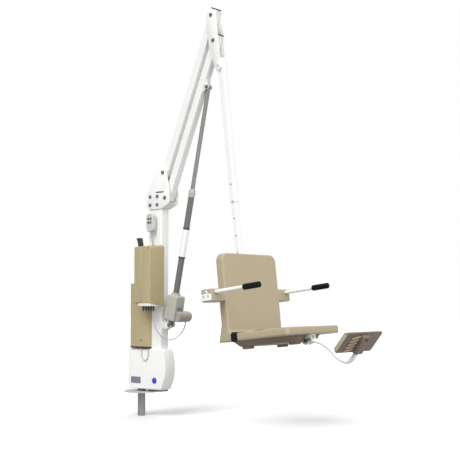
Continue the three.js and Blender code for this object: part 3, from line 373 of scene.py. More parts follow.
def editEdges(piece, wanted):
    # The same for edges, picked by their two ends.
    mesh = piece.data
    for part in (mesh.vertices, mesh.polygons):
        part.foreach_set("select", [False] * len(part))
    for edge in mesh.edges:
        edge.select = bool(wanted(*[mesh.vertices[index].co for index in edge.vertices]))
    edit(piece, "EDGE")


def leaveEdit():
    bpy.ops.object.mode_set(mode="OBJECT")


def removeFaces(piece, wanted, kind="ONLY_FACE"):
    editFaces(piece, wanted)
    bpy.ops.mesh.delete(type=kind)
    leaveEdit()


def insetFaces(piece, wanted, *insets):
    editFaces(piece, wanted)
    for thickness, depth in insets:
        bpy.ops.mesh.inset(thickness=thickness, depth=depth)
    leaveEdit()


def roundEdges(piece, wanted, width, steps, select=editEdges):
    select(piece, wanted)
    bpy.ops.mesh.bevel(offset=width, segments=steps, affect="EDGES")
    leaveEdit()


def faceOut(piece):
    editAll(piece)
    bpy.ops.mesh.remove_doubles(threshold=0.00001)
    bpy.ops.mesh.normals_make_consistent(inside=False)
    leaveEdit()


def applyModifier(piece, kind, **values):
    modifier = piece.modifiers.new(kind.lower(), kind)
    for key, value in values.items():
        setattr(modifier, key, value)
    activate(piece)
    bpy.ops.object.modifier_apply(modifier=modifier.name)
    return piece


def easeEdges(piece, width, steps=3, angle=28):
    if width:
        applyModifier(piece, "BEVEL", width=width, segments=steps, limit_method="ANGLE",
                      angle_limit=math.radians(angle), use_clamp_overlap=True)
    return piece


def giveWall(piece, thickness):
    return applyModifier(piece, "SOLIDIFY", thickness=thickness, offset=-1)


def smooth(piece, angle=32):
    activate(piece)
    bpy.ops.object.shade_smooth_by_angle(angle=math.radians(angle))


def copyOf(piece, name):
    made = piece.copy()
    made.data = piece.data.copy()
    made.name = name
    bpy.context.scene.collection.objects.link(made)
    return made


def combined(piece, operation, others):
    for other in others:
        applyModifier(piece, "BOOLEAN", operation=operation, solver="EXACT", object=other)
        bpy.data.objects.remove(other)
    return piece


def cutWith(piece, *tools):
    return combined(piece, "DIFFERENCE", tools)


def unitedWith(piece, *others):
    return combined(piece, "UNION", others)


def joined(piece, *others):
    activate(piece)
    for other in others:
        other.select_set(True)
    bpy.ops.object.join()
    return piece


def both(half, middle=0):
    return middle - half, middle + half


def grown(span, out):
    return span[0] - out, span[1] + out


def between(one, other):
    return sorted((one, other))


def addBlock(name, x, y, z, ease=0.0, steps=3):
    # A box given by its two ends along each axis.
    deselectAll()
    bpy.ops.mesh.primitive_cube_add(size=1, location=[(low + high) / 2 for low, high in (x, y, z)],
                                    scale=[high - low for low, high in (x, y, z)])
    piece = newest(name)
    applyPlace(piece)
    return easeEdges(piece, ease, steps)


def addRod(name, start, end, radius, sides=48, ease=0.0, tip=None):
    deselectAll()
    start, end = Vector(start), Vector(end)
    turn = (end - start).to_track_quat("Z", "Y").to_euler()
    bpy.ops.mesh.primitive_cone_add(vertices=sides, radius1=radius, radius2=tip or radius,
                                    depth=(end - start).length, location=(start + end) / 2, rotation=turn)
    piece = newest(name)
    applyPlace(piece)
    return easeEdges(piece, ease, 3, 40)


def addUpright(name, low, high, radius, sides=48, ease=0.0, tip=None, x=0, y=0):
    return addRod(name, (x, y, low), (x, y, high), radius, sides, ease, tip)


def addCrossRod(name, x, z, ends, radius, sides=48, ease=0.0):
    return addRod(name, (x, ends[0], z), (x, ends[1], z), radius, sides, ease)


def drilled(piece, x, z, radius, sides=32, reach=0.04):
    # A hole along Y.
    return cutWith(piece, addCrossRod("drill", x, z, both(reach), radius, sides))


def addOutline(name, points):
    # A flat face in X and Y whose corners are the points, ready to be extruded.
    deselectAll()
    bpy.ops.mesh.primitive_circle_add(vertices=len(points), radius=1, fill_type="NGON")
    piece = newest(name)
    for corner, (x, y) in zip(piece.data.vertices, points):
        corner.co = (x, y, 0)
    return piece


def addPlate(name, points, low, high, across="Y", ease=0.0, steps=3):
    # An outline in X and Z carried along Y, in Y and Z carried along X, or in X and Y carried up Z.
    piece = addOutline(name, points)
    editAll(piece)
    bpy.ops.mesh.extrude_region_move(TRANSFORM_OT_translate={"value": (0, 0, high - low)})
    leaveEdit()
    piece.matrix_world = {
        "X": at(low, 0, 0) @ Matrix(((0, 0, 1), (1, 0, 0), (0, 1, 0))).to_4x4(),
        "Y": at(0, high, 0) @ toNear,
        "Z": at(0, 0, low),
    }[across]
    applyPlace(piece)
    faceOut(piece)
    return easeEdges(piece, ease, steps)


def addTwins(name, outline, inner, outer, ease=0.0, steps=2):
    # The same plate on the near and on the far side.
    return [addPlate(name, outline, *between(side * inner, side * outer), "Y", ease, steps) for side in (-1, 1)]


def addSpun(name, profile, sides=72):
    # A closed profile of radius and height, spun about Z.
    piece = addOutline(name, profile)
    for corner in piece.data.vertices:
        corner.co = (corner.co.x, 0, corner.co.y)
    editAll(piece)
    bpy.ops.mesh.delete(type="ONLY_FACE")
    bpy.ops.mesh.select_all(action="SELECT")
    bpy.ops.mesh.spin(steps=sides, angle=2 * math.pi, center=(0, 0, 0), axis=(0, 0, 1))
    leaveEdit()
    faceOut(piece)
    editAll(piece)
    bpy.ops.mesh.dissolve_degenerate(threshold=0.00001)
    leaveEdit()
    return piece


def addSleeve(name, inner, outer, low, high):
    return addSpun(name, [(inner, low), (outer, low), (outer, high), (inner, high)])


def addSquareTube(name, wide, deep, wall, round, low, high):
    piece = addBlock(name, both(wide / 2), both(deep / 2), (low, high))
    roundEdges(piece, lambda one, other: abs(one.z - other.z) > (high - low) / 2, round, 6)
    removeFaces(piece, lambda centre, normal: abs(normal.z) > 0.9, "FACE")
    return giveWall(piece, wall)


def arcOf(centre, radius, first, last, steps):
    points = []
    for step in range(steps + 1):
        angle = math.radians(first + (last - first) * step / steps)
        points.append((centre[0] + radius * math.cos(angle), centre[1] + radius * math.sin(angle)))
    return points


def roundedOutline(left, right, low, high, round, steps=6):
    return [
        *arcOf((right - round, high - round), round, 0, 90, steps),
        *arcOf((left + round, high - round), round, 90, 180, steps),
        *arcOf((left + round, low + round), round, 180, 270, steps),
        *arcOf((right - round, low + round), round, 270, 360, steps),
    ]


def roundedCorners(points, radius, steps=4):
    # The same polygon with each corner turned by a short curve.
    made = []
    for index, (x, y) in enumerate(points):
        here = Vector((x, y))
        before = Vector(points[index - 1]) - here
        after = Vector(points[(index + 1) % len(points)]) - here
        reach = min(radius, before.length * 0.45, after.length * 0.45)
        first, last = here + before.normalized() * reach, here + after.normalized() * reach
        for step in range(steps + 1):
            t = step / steps
            point = first.lerp(here, t).lerp(here.lerp(last, t), t)
            made.append((point.x, point.y))
    return made


bodyOf = {name: node["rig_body"] for name, node in nodes.items()}
slotOf = {part["node"]: part["material_slot"] for part in frame["record"]["subparts"]}


def added(piece, place, body, slot, look=None, angle=32):
    # Puts a piece in its place in the machine, smooths and paints it, and has it ride its body.
    settle(piece, place)
    smooth(piece, angle)
    piece.data.materials.clear()
    piece.data.materials.append(finishes[look or slot])
    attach(piece, body)


def replacing(node, piece, place, slot=None, look=None, angle=32):
    # The same for a piece that stands for a node, on that node's body and in its slot.
    added(piece, place, bodyOf[node], slot or slotOf[node], look, angle)
    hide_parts(node)


# Cords
cords = {
    "motor": {
        "diameter": 0.007, "node": "motor_cable",
        "route": [
            (0.196, -0.096, 0.5153), (0.198, -0.096, 0.478), (0.206, -0.093, 0.425), (0.226, -0.081, 0.38),
            (0.247, -0.06, 0.3505), (0.273, -0.032, 0.337), (0.295, 0, 0.346), (0.308, 0.03, 0.3715),
            (0.316, 0.052, 0.401),
        ],
    },
    "handset": {
        "diameter": 0.007, "node": "handset_cord",
        "route": [
            (0.14, -0.06, 1.0146), (0.14, -0.059, 0.985), (0.14, -0.052, 0.955), (0.14, -0.046, 0.93),
            (0.14, -0.046, 0.9), (0.14, -0.046, 0.8604),
        ],
    },
    "rotation": {
        "diameter": 0.0052, "node": "rotation_cable",
        "route": [
            (0.052, -0.0545, 0.2796), (0.052, -0.0545, 0.25), (0.06, -0.0545, 0.217), (0.082, -0.0545, 0.203),
            (0.103, -0.0545, 0.217), (0.111, -0.0545, 0.25), (0.111, -0.0545, 0.2796),
        ],
    },
}
motorCan = {
    "x": 0.052, "z": 0.064, "radius": 0.034, "near": -0.026, "far": 0.104, "dome": 0.026, "cableAt": 0.07,
    "cableLead": 0.014, "ribs": (0.3, 0.62), "ribHigh": 0.003, "ribProud": 0.0008, "ribEase": 0.0006,
}


def smoothRoute(points, steps=6):
    # Points along a centripetal spline through the given ones.
    knots = [points[0] * 2 - points[1], *points, points[-1] * 2 - points[-2]]
    route = []
    for index in range(1, len(knots) - 2):
        before, one, other, after = knots[index - 1:index + 3]
        times = [0.0]
        for a, b in ((before, one), (one, other), (other, after)):
            times.append(times[-1] + max((b - a).length, 0.000001) ** 0.5)
        for step in range(steps):
            t = times[1] + (times[2] - times[1]) * step / steps
            first = before.lerp(one, (t - times[0]) / (times[1] - times[0]))
            second = one.lerp(other, (t - times[1]) / (times[2] - times[1]))
            third = other.lerp(after, (t - times[2]) / (times[3] - times[2]))
            low = first.lerp(second, (t - times[0]) / (times[2] - times[0]))
            high = second.lerp(third, (t - times[1]) / (times[3] - times[1]))
            route.append(low.lerp(high, (t - times[1]) / (times[2] - times[1])))
    route.append(points[-1])
    return route


def tubeAlong(name, route, radius, sides=6):
    deselectAll()
    curve = bpy.data.curves.new(name, "CURVE")
    curve.dimensions = "3D"
    line = curve.splines.new("POLY")
    line.points.add(len(route) - 1)
    for point, place in zip(line.points, route):
        point.co = (*place, 1)
    curve.bevel_depth = radius
    curve.bevel_resolution = sides
    curve.use_fill_caps = True
    piece = bpy.data.objects.new(name, curve)
    bpy.context.scene.collection.objects.link(piece)
    activate(piece)
    bpy.ops.object.convert(target="MESH")
    return bpy.context.active_object


def addCord(name, facts, ends=(), blendTo=None):
    route = smoothRoute([Vector((x, y, z + deckHigh)) for x, y, z in facts["route"]] + list(ends))
    length = sum((b - a).length for a, b in zip(route, route[1:]))
    piece = tubeAlong(name, route, facts["diameter"] / 2)
    smooth(piece, 60)
    piece.data.materials.clear()
    piece.data.materials.append(finishes["cable_jacket"])
    if blendTo:
        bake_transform(piece)
    else:
        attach(piece, "mast")
    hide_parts(facts["node"])


underMotor = motorCan["z"] - motorCan["radius"] - gap
cableEnds = [onActuator @ Vector((motorCan["x"], motorCan["cableAt"], underMotor - back))
             for back in (motorCan["cableLead"], 0)]
addCord("motorCable", cords["motor"], cableEnds, "actuator_body")
addCord("handsetCord", cords["handset"])
addCord("rotationCable", cords["rotation"])
print("cords laid:", len(cords))

# Fasteners, their measures as shares of the head's radius
hexHead = {
    "crown": 0.1, "dish": 0.28, "dishDeep": 0.05, "washer": 1.32, "high": 0.62, "washerHigh": 0.16,
    "washerEase": 0.25,
}
panHead = {"high": 0.5, "crown": 0.22, "recessFloor": 0.28, "recessLong": 0.55, "recessWide": 0.13}


def addHexEnd(name, radius, high, washer):
    # A hexagon head on its washer, standing up from z = 0.
    h = hexHead
    head = addUpright(name, washer, washer + high, radius, 6, radius * h["crown"])
    insetFaces(head, lambda centre, normal: normal.z > 0.9, (radius * h["dish"], radius * h["dishDeep"]))
    ring = addUpright(name + "Washer", 0, washer, radius * h["washer"], 40, washer * h["washerEase"])
    return joined(head, ring)


def addBolt(name, x, z, face, shank, head, place=onDeck, body="mast", node=None, look="bolt"):
    # A bolt along Y from -face to face, with a head outside each end.
    end = addHexEnd(name + "End", head, head * hexHead["high"], head * hexHead["washerHigh"])
    other = copyOf(end, name + "OtherEnd")
    settle(end, at(0, 0, face))
    settle(other, at(0, 0, -face) @ toNear @ toNear)
    bolt = joined(addUpright(name, -face, face, shank, 24), end, other)
    place = place @ at(x, 0, z) @ toFar
    if node:
        replacing(node, bolt, place, look=look)
    else:
        added(bolt, place, body, "dark_steel", look)


def addScrew(name, place, radius, turn=toNear):
    # A pan head with a cross recess, on the mast.
    p = panHead
    head = addUpright(name, 0, radius * p["high"], radius, 32, radius * p["crown"])
    long, wide = both(radius * p["recessLong"]), both(radius * p["recessWide"])
    for x, y in ((long, wide), (wide, long)):
        cutWith(head, addBlock("recess", x, y, (radius * p["recessFloor"], radius)))
    added(head, onDeck @ at(*place) @ turn, "mast", "dark_steel", "bolt")


# Anchor
anchor = {
    "pipe": 0.02415, "depth": 0.15, "flange": 0.11, "thick": 0.01, "top": 0.222, "collar": 0.034,
    "collarLow": 0.036, "collarHigh": 0.05, "edge": 0.002, "bead": 0.004, "beadOut": 0.6, "beadFlat": 0.8,
    "beadLift": 0.0005,
}


def makeAnchor():
    a = anchor
    pipe, edge, collar, rim = a["pipe"], a["edge"], a["collar"], a["flange"]
    spigot = addSpun("spigot", [
        (0, -a["depth"]), (pipe - edge, -a["depth"]), (pipe, edge - a["depth"]), (pipe, a["collarLow"]),
        (collar, a["collarLow"]), (collar, a["collarHigh"]), (pipe, a["collarHigh"]), (pipe, a["top"] - edge),
        (pipe - edge, a["top"]), (0, a["top"]),
    ], 64)
    replacing("anchor_spindle", spigot, onDeck)
    flange = addSpun("deckFlange", [
        (pipe + gap, 0), (rim - edge, 0), (rim, edge / 2), (rim, a["thick"] - edge), (rim - edge, a["thick"]),
        (pipe + gap, a["thick"]),
    ], 96)
    replacing("deck_flange", flange, onDeck)
    deselectAll()
    bpy.ops.mesh.primitive_torus_add(major_radius=pipe + a["bead"] * a["beadOut"], minor_radius=a["bead"],
                                     major_segments=72, minor_segments=12,
                                     location=(0, 0, a["thick"] + a["beadLift"]))
    bead = newest("flangeWeld")
    bead.matrix_world = bead.matrix_world @ Matrix.Diagonal((1, 1, a["beadFlat"], 1))
    applyPlace(bead)
    added(bead, onDeck, "base", "grey_steel", angle=60)


makeAnchor()

# Mast
mast = {
    "wide": 0.112, "deep": 0.07, "wall": 0.004, "round": 0.008, "centre": 0.146, "low": 0.02, "high": 1.256,
    "plug": 0.012, "topCap": 0.004, "footCap": 0.008, "play": 0.0002, "plugEase": 0.002, "capEase": 0.0015,
}
mastLeft = mast["centre"] - mast["wide"] / 2
mastRight = mast["centre"] + mast["wide"] / 2
mastSide = mast["deep"] / 2
mastFace = mastRight + gap


def makeMast():
    m = mast
    tube = addSquareTube("mastTube", m["wide"], m["deep"], m["wall"], m["round"], m["low"], m["high"])
    replacing("mast_tube", tube, onDeck @ at(m["centre"], 0, 0))
    top, foot = m["high"] + m["topCap"], m["low"] - m["footCap"]
    inset = m["wall"] + m["play"]
    for name, plug, lip in (("mastTopCap", (m["high"] - m["plug"], top), (m["high"], top)),
                            ("mastFootCap", (foot, m["low"] + m["plug"]), (foot, m["low"] - m["play"]))):
        cap = addBlock(name, (mastLeft + inset, mastRight - inset), both(mastSide - inset), plug, m["plugEase"])
        edge = addBlock(name + "Lip", (mastLeft, mastRight), both(mastSide), lip, m["capEase"])
        added(joined(cap, edge), onDeck, "mast", "black_plastic")


makeMast()

# Base housing
housing = {
    "low": 0.023, "high": 0.277, "left": -0.077, "wall": 0.004, "half": 0.048, "ease": 0.007, "corner": 0.016,
    "play": 0.0006, "seam": 0.0002, "spindleTop": 0.06,
    "right": [(0.222, 0.277), (0.2365, 0.25), (0.2455, 0.214), (0.251, 0.16), (0.246, 0.112), (0.236, 0.075),
              (0.212, 0.023)],
}
labelPlate = {
    "x": (-0.047, 0.039), "z": (0.057, 0.098), "thick": 0.0016, "rim": 0.003, "sunk": 0.0005, "ease": 0.00064,
}
blueCap = {
    "x": 0.16, "z": 0.08, "radius": 0.017, "high": 0.006, "ease": 0.0033, "ring": 0.01904, "ringHigh": 0.0018,
    "ringEase": 0.0006,
}
shaft = {"x": 0.054, "radius": 0.011, "z": (0.25, 0.3)}
aboveMast = 1.5


def mastWay(play, right=mastRight):
    # The room that the mast takes in a cover at its foot.
    return addBlock("mastWay", (mastLeft - play, right), both(mastSide + play), (0, aboveMast))


def shaftWay():
    return addUpright("shaftWay", *shaft["z"], shaft["radius"], 32, x=shaft["x"])


def makeHousing():
    h = housing
    corner, left = h["corner"], h["left"] + h["corner"]
    right = [(p.x, p.z) for p in smoothRoute([Vector((x, 0, z)) for x, z in h["right"]], 4)]
    outline = [*reversed(right), *arcOf((left, h["high"] - corner), corner, 90, 180, 6),
               *arcOf((left, h["low"] + corner), corner, 180, 270, 6)]
    shell = addPlate("housing", outline, *both(h["half"]), "Y", h["ease"], 4)
    giveWall(shell, h["wall"])
    play = h["play"]
    cutWith(shell, mastWay(play, mastRight + play), shaftWay(),
            addUpright("spindleWay", 0, h["spindleTop"], anchor["pipe"] + play))
    other = copyOf(shell, "housingFar")
    shell.name = "housingNear"
    seam, beside = h["seam"], h["half"] + past
    for piece, y, node in ((shell, (-seam, beside), "housing_near"), (other, (-beside, seam), "housing_far")):
        cutWith(piece, addBlock("otherSpace", both(0.5), y, (0, 0.5)))
        replacing(node, piece, onDeck)
    p = labelPlate
    plate = addBlock("housingPlate", p["x"], (-h["half"] - p["thick"], -h["half"]), p["z"], p["ease"])
    insetFaces(plate, lambda centre, normal: normal.y < -0.9, (p["rim"], -p["sunk"]))
    added(plate, onDeck, "mast", "dark_steel", "plate")
    c = blueCap
    cap = addUpright("housingCap", 0, c["high"], c["radius"], 64, c["ease"])
    ring = addUpright("housingCapRing", 0, c["ringHigh"], c["ring"], 64, c["ringEase"])
    place = onDeck @ at(c["x"], -h["half"], c["z"]) @ toNear
    added(joined(cap, ring), place, "mast", "grey_plastic", "blueCap")


makeHousing()
print("anchor, mast and housing made")

# Lower cover
lowerCover = {
    "left": -0.045, "right": 0.122, "half": 0.06, "back": 0.04, "low": 0.2903, "high": 0.69, "wall": 0.003,
    "creaseLow": 0.116, "creaseHigh": 0.011, "base": 0.28, "baseEase": 0.0015, "ease": 0.004,
    "boxLeft": 0.0907, "boxLow": 0.5487, "screw": (0.05, 0.329), "screwHead": 0.0055,
}


def makeLowerCover():
    c = lowerCover
    crease = c["creaseLow"]
    outline = [(c["left"], -c["half"]), (crease, -c["half"]), (c["right"], -c["back"]), (c["right"], c["back"]),
               (crease, c["half"]), (c["left"], c["half"])]
    cover = addPlate("lowerCover", outline, c["low"], c["high"], "Z")
    for corner in cover.data.vertices:
        if corner.co.z > c["high"] - touch and abs(corner.co.x - crease) < touch:
            corner.co.x = c["creaseHigh"]
    removeFaces(cover, lambda centre, normal: normal.z < -0.9)
    easeEdges(cover, c["ease"], 4, 8)
    giveWall(cover, c["wall"])
    boxWay = addBlock("boxWay", (c["boxLeft"], c["right"] + past), (-c["half"] - past, -mastSide),
                      (c["boxLow"], c["high"] + past))
    cutWith(cover, mastWay(gap), boxWay)
    replacing("lower_cover", cover, onDeck, look="cover", angle=22)
    base = addPlate("coverBase", outline, c["base"], c["low"] - gap, "Z", c["baseEase"])
    cutWith(base, mastWay(gap, c["right"] + past), shaftWay())
    replacing("cover_base", base, onDeck)
    addScrew("coverScrew", (c["screw"][0], -c["half"], c["screw"][1]), c["screwHead"])


makeLowerCover()

# Control box, battery, glands and upper cover
behind = -mastSide - gap
control = {
    "box": {"x": (0.097, 0.225), "y": (-0.108, behind), "z": (0.549, 0.86), "ease": 0.003},
    "tray": {"x": (0.1225, 0.227), "y": (-0.16, behind), "z": (0.546, 0.5745), "ease": 0.0035},
}
glands = {"radius": 0.007, "long": 0.03, "first": 0.108, "pitch": 0.022, "count": 5, "y": -0.096}
battery = {"x": (0.099, 0.223), "y": (-0.157, -0.1083), "z": (0.5755, 0.88), "ease": 0.004}
handle = {
    "half": 0.008, "ease": 0.003,
    "outline": [(0.101, 0.868), (0.136, 0.868), (0.136, 0.93), (0.127, 0.973), (0.087, 0.973), (0.086, 0.964),
                (0.092, 0.958), (0.1, 0.93)],
}
upperCover = {
    "left": 0.091, "right": 0.231, "near": -0.165, "far": -0.039, "low": 0.52, "high": 0.93, "topNear": 0.918,
    "mouthNear": 0.568, "mouthFar": 0.543, "wall": 0.003, "round": 0.016, "ease": 0.005,
    "rib": (0.13, 0.163), "ribY": (-0.1692, -0.163), "ribZ": (0.571, 0.905), "ribEase": 0.0018,
    "slotPlay": 0.001, "slotDeep": 0.04, "cordWay": ((0.133, 0.147), (-0.053, 0)), "cordDeep": 0.02,
    "screw": 0.0045, "frontScrew": (0.22, 0.908), "sideScrew": (-0.097, 0.562),
}


def glandProfile(radius, long, tip, neck, neckTop, shoulder):
    # A cable's boot that hangs from a face, its tip at z = 0.
    return [(0, 0), (radius * tip, 0), (radius * neck, 0.004), (radius * neck, neckTop), (radius, shoulder),
            (radius, long), (0, long)]


def makeControls():
    box = unitedWith(addBlock("controlBox", **control["box"]), addBlock("controlTray", **control["tray"]))
    replacing("control_box", box, onDeck)
    g = glands
    foot = control["tray"]["z"][0] - g["long"]
    master = addSpun("gland", glandProfile(g["radius"], g["long"], 0.62, 0.85, 0.011, 0.012), 6)
    for index in range(g["count"]):
        gland = copyOf(master, "cableGland%d" % (index + 1))
        place = onDeck @ at(g["first"] + index * g["pitch"], g["y"], foot)
        added(gland, place, "mast", "black_plastic", "darkPlug")
    bpy.data.objects.remove(master)
    pack = addBlock("batteryPack", **battery)
    span = both(handle["half"], sum(battery["y"]) / 2)
    unitedWith(pack, addPlate("batteryHandle", handle["outline"], *span, "Y", handle["ease"], 4))
    replacing("battery_pack", pack, onDeck)


def makeUpperCover():
    c = upperCover
    crown = c["high"] - c["round"]
    outline = [*arcOf((c["right"] - c["round"], crown), c["round"], 0, 90, 8),
               *arcOf((c["left"] + c["round"], crown), c["round"], 90, 180, 8), (c["left"], c["low"]),
               (c["right"], c["low"])]
    cover = addPlate("upperCover", outline, c["near"], c["far"])
    for corner in cover.data.vertices:
        if corner.co.y < c["near"] + touch and corner.co.z > crown - touch:
            corner.co.z -= c["high"] - c["topNear"]
    removeFaces(cover, lambda centre, normal: normal.y > 0.9)
    easeEdges(cover, c["ease"], 4, 50)
    giveWall(cover, c["wall"])
    unitedWith(cover, addBlock("coverRib", c["rib"], c["ribY"], c["ribZ"], c["ribEase"]))
    fall = (c["mouthFar"] - c["mouthNear"]) / (c["far"] - c["near"])
    near, far = c["near"] - past, c["far"] + past
    mouth = [(near, c["low"] - past), (far, c["low"] - past), (far, c["mouthNear"] + fall * (far - c["near"])),
             (near, c["mouthNear"] + fall * (near - c["near"]))]
    slot = [grown(battery[side], c["slotPlay"]) for side in ("x", "y")]
    top = c["high"] + past
    cutWith(cover, addPlate("mouthTool", mouth, c["left"] - past, c["right"] + past, "X"),
            addBlock("batterySlot", *slot, (c["high"] - c["slotDeep"], top)),
            addBlock("cordWay", *c["cordWay"], (c["high"] - c["cordDeep"], top)))
    replacing("upper_cover", cover, onDeck, look="cover")
    addScrew("upperCoverScrew", (c["frontScrew"][0], c["near"], c["frontScrew"][1]), c["screw"])
    addScrew("lowerCoverEdgeScrew", (c["right"], *c["sideScrew"]), c["screw"], toRight)


makeControls()
makeUpperCover()

# Handset
handset = {
    "x": 0.14, "z": 1.073, "wide": 0.06, "high": 0.116, "near": -0.08, "far": -0.048, "round": 0.022,
    "ease": 0.006, "hook": 0.015, "hookHigh": 0.04, "hookEase": 0.002, "face": ((0.004, 0), (0.0012, -0.0012)),
}
keys = {
    "radius": 0.007, "proud": 0.003, "stepX": 0.02, "stepZ": 0.024, "high": 0.024, "foot": 0.0037,
    "well": 0.0055, "play": 0.0005, "ease": 0.0022,
    "places": {"raise": (-1, 0), "lower": (1, 0), "left": (-1, 1), "right": (1, 1)},
}


def makeHandset():
    h, k = handset, keys
    x, z, near = h["x"], h["z"], h["near"]
    outline = roundedOutline(*both(h["wide"] / 2, x), *both(h["high"] / 2, z), h["round"], 10)
    shell = addPlate("handsetShell", outline, near, h["far"], "Y", h["ease"], 5)
    insetFaces(shell, lambda centre, normal: normal.y < -0.99 and centre.y < near + touch / 2, *h["face"])
    unitedWith(shell, addBlock("handsetHook", both(h["hook"], x), (h["far"] - h["ease"], behind),
                               (z, z + h["hookHigh"]), h["hookEase"]))
    spots = {word: (x + across * k["stepX"] / 2, z + k["high"] - down * k["stepZ"])
             for word, (across, down) in k["places"].items()}
    for spot in spots.values():
        cutWith(shell, addCrossRod("well", *spot, (near - past, near + k["well"]), k["radius"] + k["play"]))
    replacing("handset_shell", shell, onDeck, look="handset")
    for word, spot in spots.items():
        ends = (near + k["foot"], near - k["proud"])
        cap = addCrossRod("cap_key_" + word, *spot, ends, k["radius"], 40, k["ease"])
        replacing("key_" + word, cap, onDeck, look="darkPlug")


makeHandset()
print("covers, controls and handset made")

# Arms and inner knuckle
knuckle = {
    "half": 0.0353, "thick": 0.008, "web": 0.005, "round": 0.012, "ease": 0.0012,
    "corners": [(0.092, 1.16), (0.208, 1.16), (0.276, 1.194), (0.276, 1.262), (0.244, 1.412), (0.234, 1.422),
                (0.188, 1.422), (0.158, 1.384), (0.078, 1.256), (0.078, 1.182)],
    "webEnd": 0.08, "webEase": 0.0008, "slot": (0.16, 0.228, 1.261, 1.27), "slotRound": 0.00405,
    "stripRound": 0.0038, "stripPlay": 0.0002, "stripSunk": 0.0015,
    "stopPin": (0.25, 1.35), "stopRadius": 0.006,
}
arms = {
    "size": 0.05, "wall": 0.003, "round": 0.006, "tail": 0.014, "nose": 0.038, "cap": 0.008, "plug": 0.02,
    "capEase": 0.0035,
}
pins = {"radius": 0.01, "head": 0.0096, "collar": 0.016, "play": 0.0006}
mastBolts = {"x": (0.11, 0.172), "z": (1.187, 1.24), "radius": 0.006, "head": 0.0088}
cheekFace = knuckle["half"] + knuckle["thick"]


def makeInnerKnuckle():
    k = knuckle
    half = k["half"]
    near, far = addTwins("innerKnuckle", roundedCorners(k["corners"], k["round"]), half, cheekFace, k["ease"])
    left, right, low, high = k["slot"]
    slot = roundedOutline(left, right, low, high, k["slotRound"])
    cutWith(near, addPlate("slotTool", slot, -cheekFace - past, -half + past))
    foot, side = Vector(k["corners"][1]), Vector(k["corners"][2])
    across = Vector((foot.y - side.y, side.x - foot.x)).normalized() * k["web"]
    along = (side - foot) * k["webEnd"]
    corners = (foot + along, side - along, side - along + across, foot + along + across)
    web = addPlate("knuckleWeb", [tuple(p) for p in corners], *both(half + touch), "Y", k["webEase"], 2)
    replacing("inner_knuckle", joined(near, far, web), onDeck)
    for x in mastBolts["x"]:
        for z in mastBolts["z"]:
            addBolt("mastBolt", x, z, cheekFace, mastBolts["radius"], mastBolts["head"])
    bar = addCrossRod("armStopBar", *k["stopPin"], both(half - gap), k["stopRadius"], 32)
    added(bar, onDeck, "mast", "dark_steel", "bolt")
    # A black plate sunk in the near plate's slot stands in for the shade inside the slot: painted shade.
    play = k["stripPlay"]
    strip = roundedOutline(left + play, right - play, low + play, high - play, k["stripRound"])
    slotShade = addPlate("slotShadeFill", strip, k["stripSunk"] - cheekFace, -half - touch)
    added(slotShade, onDeck, "mast", "black_plastic", "darkPlug")


def addPivotPin(name, node, x, z, face, place=onDeck, inner=None):
    # A headed pin through two plates, with a collar on each side of what turns on it.
    addBolt(name, x, z, face + gap, pins["radius"], pins["head"], place, node=node)
    if inner:
        collars = [addCrossRod(name + "Collar", x, z, [side * end for end in inner], pins["collar"], 32, 0.001)
                   for side in (-1, 1)]
        added(joined(*collars), place, bodyOf[node], "dark_steel", "bolt")


def makeArms():
    a = arms
    half, end = a["size"] / 2, armLength + a["nose"]
    inner = half - a["wall"] - gap
    for side, place in (("upper", onUpperArm), ("lower", onLowerArm)):
        tube = addSquareTube(side + "ArmTube", a["size"], a["size"], a["wall"], a["round"], -a["tail"], end)
        replacing(side + "_arm_tube", tube, place)
        cap = addBlock(side + "ArmCap", both(half), both(half), (end + gap, end + a["cap"]), a["capEase"])
        core = addBlock(side + "ArmPlug", both(inner), both(inner), (end - a["plug"], end + 0.001), 0.001)
        replacing(side + "_arm_plug", joined(cap, core), place)


lugs = {"half": 0.014, "thick": 0.006, "root": 0.044, "eye": 0.015}
footLugs = {
    "half": 0.015, "thick": 0.006, "low": -0.034, "high": 0.04, "plate": 0.008, "plateHalf": 0.03, "eye": 0.015,
    "screw": 0.0042, "screwIn": 0.006, "screwEnd": 0.012,
}


def addLugs(name, face, low, high, facts, centre, base):
    # Two ears with round ends on a base plate, whose outlines lie in X and Z.
    x, z = centre
    outline = [(face, z + low), *arcOf((x, z), facts["eye"], -90, 90, 12), (face, z + high)]
    ears = addTwins(name, outline, facts["half"], facts["half"] + facts["thick"], 0.001)
    return joined(*ears, base)


def makeLugs():
    face, root = arms["size"] / 2 + gap, lugs["root"]
    base = addBlock("lugBase", (face, face + lugs["thick"]), both(lugs["half"] + lugs["thick"]),
                    both(root, rodAlong), 0.001)
    pair = addLugs("actuatorLugs", face, -root, root, lugs, (rodOff, rodAlong), base)
    replacing("actuator_lugs", pair, onLowerArm)
    f = footLugs
    x, z = footPivot.x, footPivot.z - deckHigh
    plate = addBlock("footPlate", (mastFace, mastFace + f["plate"]), both(f["plateHalf"]),
                     (z + f["low"], z + f["high"]), 0.0015)
    bracket = addLugs("footBracket", mastFace, f["low"], f["high"], f, (x, z), plate)
    replacing("foot_bracket", bracket, onDeck)
    for y in both(f["plateHalf"] - f["screwIn"]):
        for height in (f["low"] + f["screwEnd"], f["high"] - f["screwEnd"]):
            addScrew("footPlateScrew", (mastFace + f["plate"], y, z + height), f["screw"], toRight)


def makePivotPins():
    collarEnds = (arms["size"] / 2 + gap, knuckle["half"] - 0.0001)
    for name, node, pivot, face, inner in (
            ("UpperArmPin", "upper_arm_pin", highPivot, cheekFace, collarEnds),
            ("LowerArmPin", "lower_arm_pin", lowPivot, cheekFace, collarEnds),
            ("rodPin", "rod_pin", rodPivot, lugs["half"] + lugs["thick"], None),
            ("footPin", "foot_pin", footPivot, footLugs["half"] + footLugs["thick"], None)):
        addPivotPin(name, node, pivot.x, pivot.z - deckHigh, face, inner=inner)


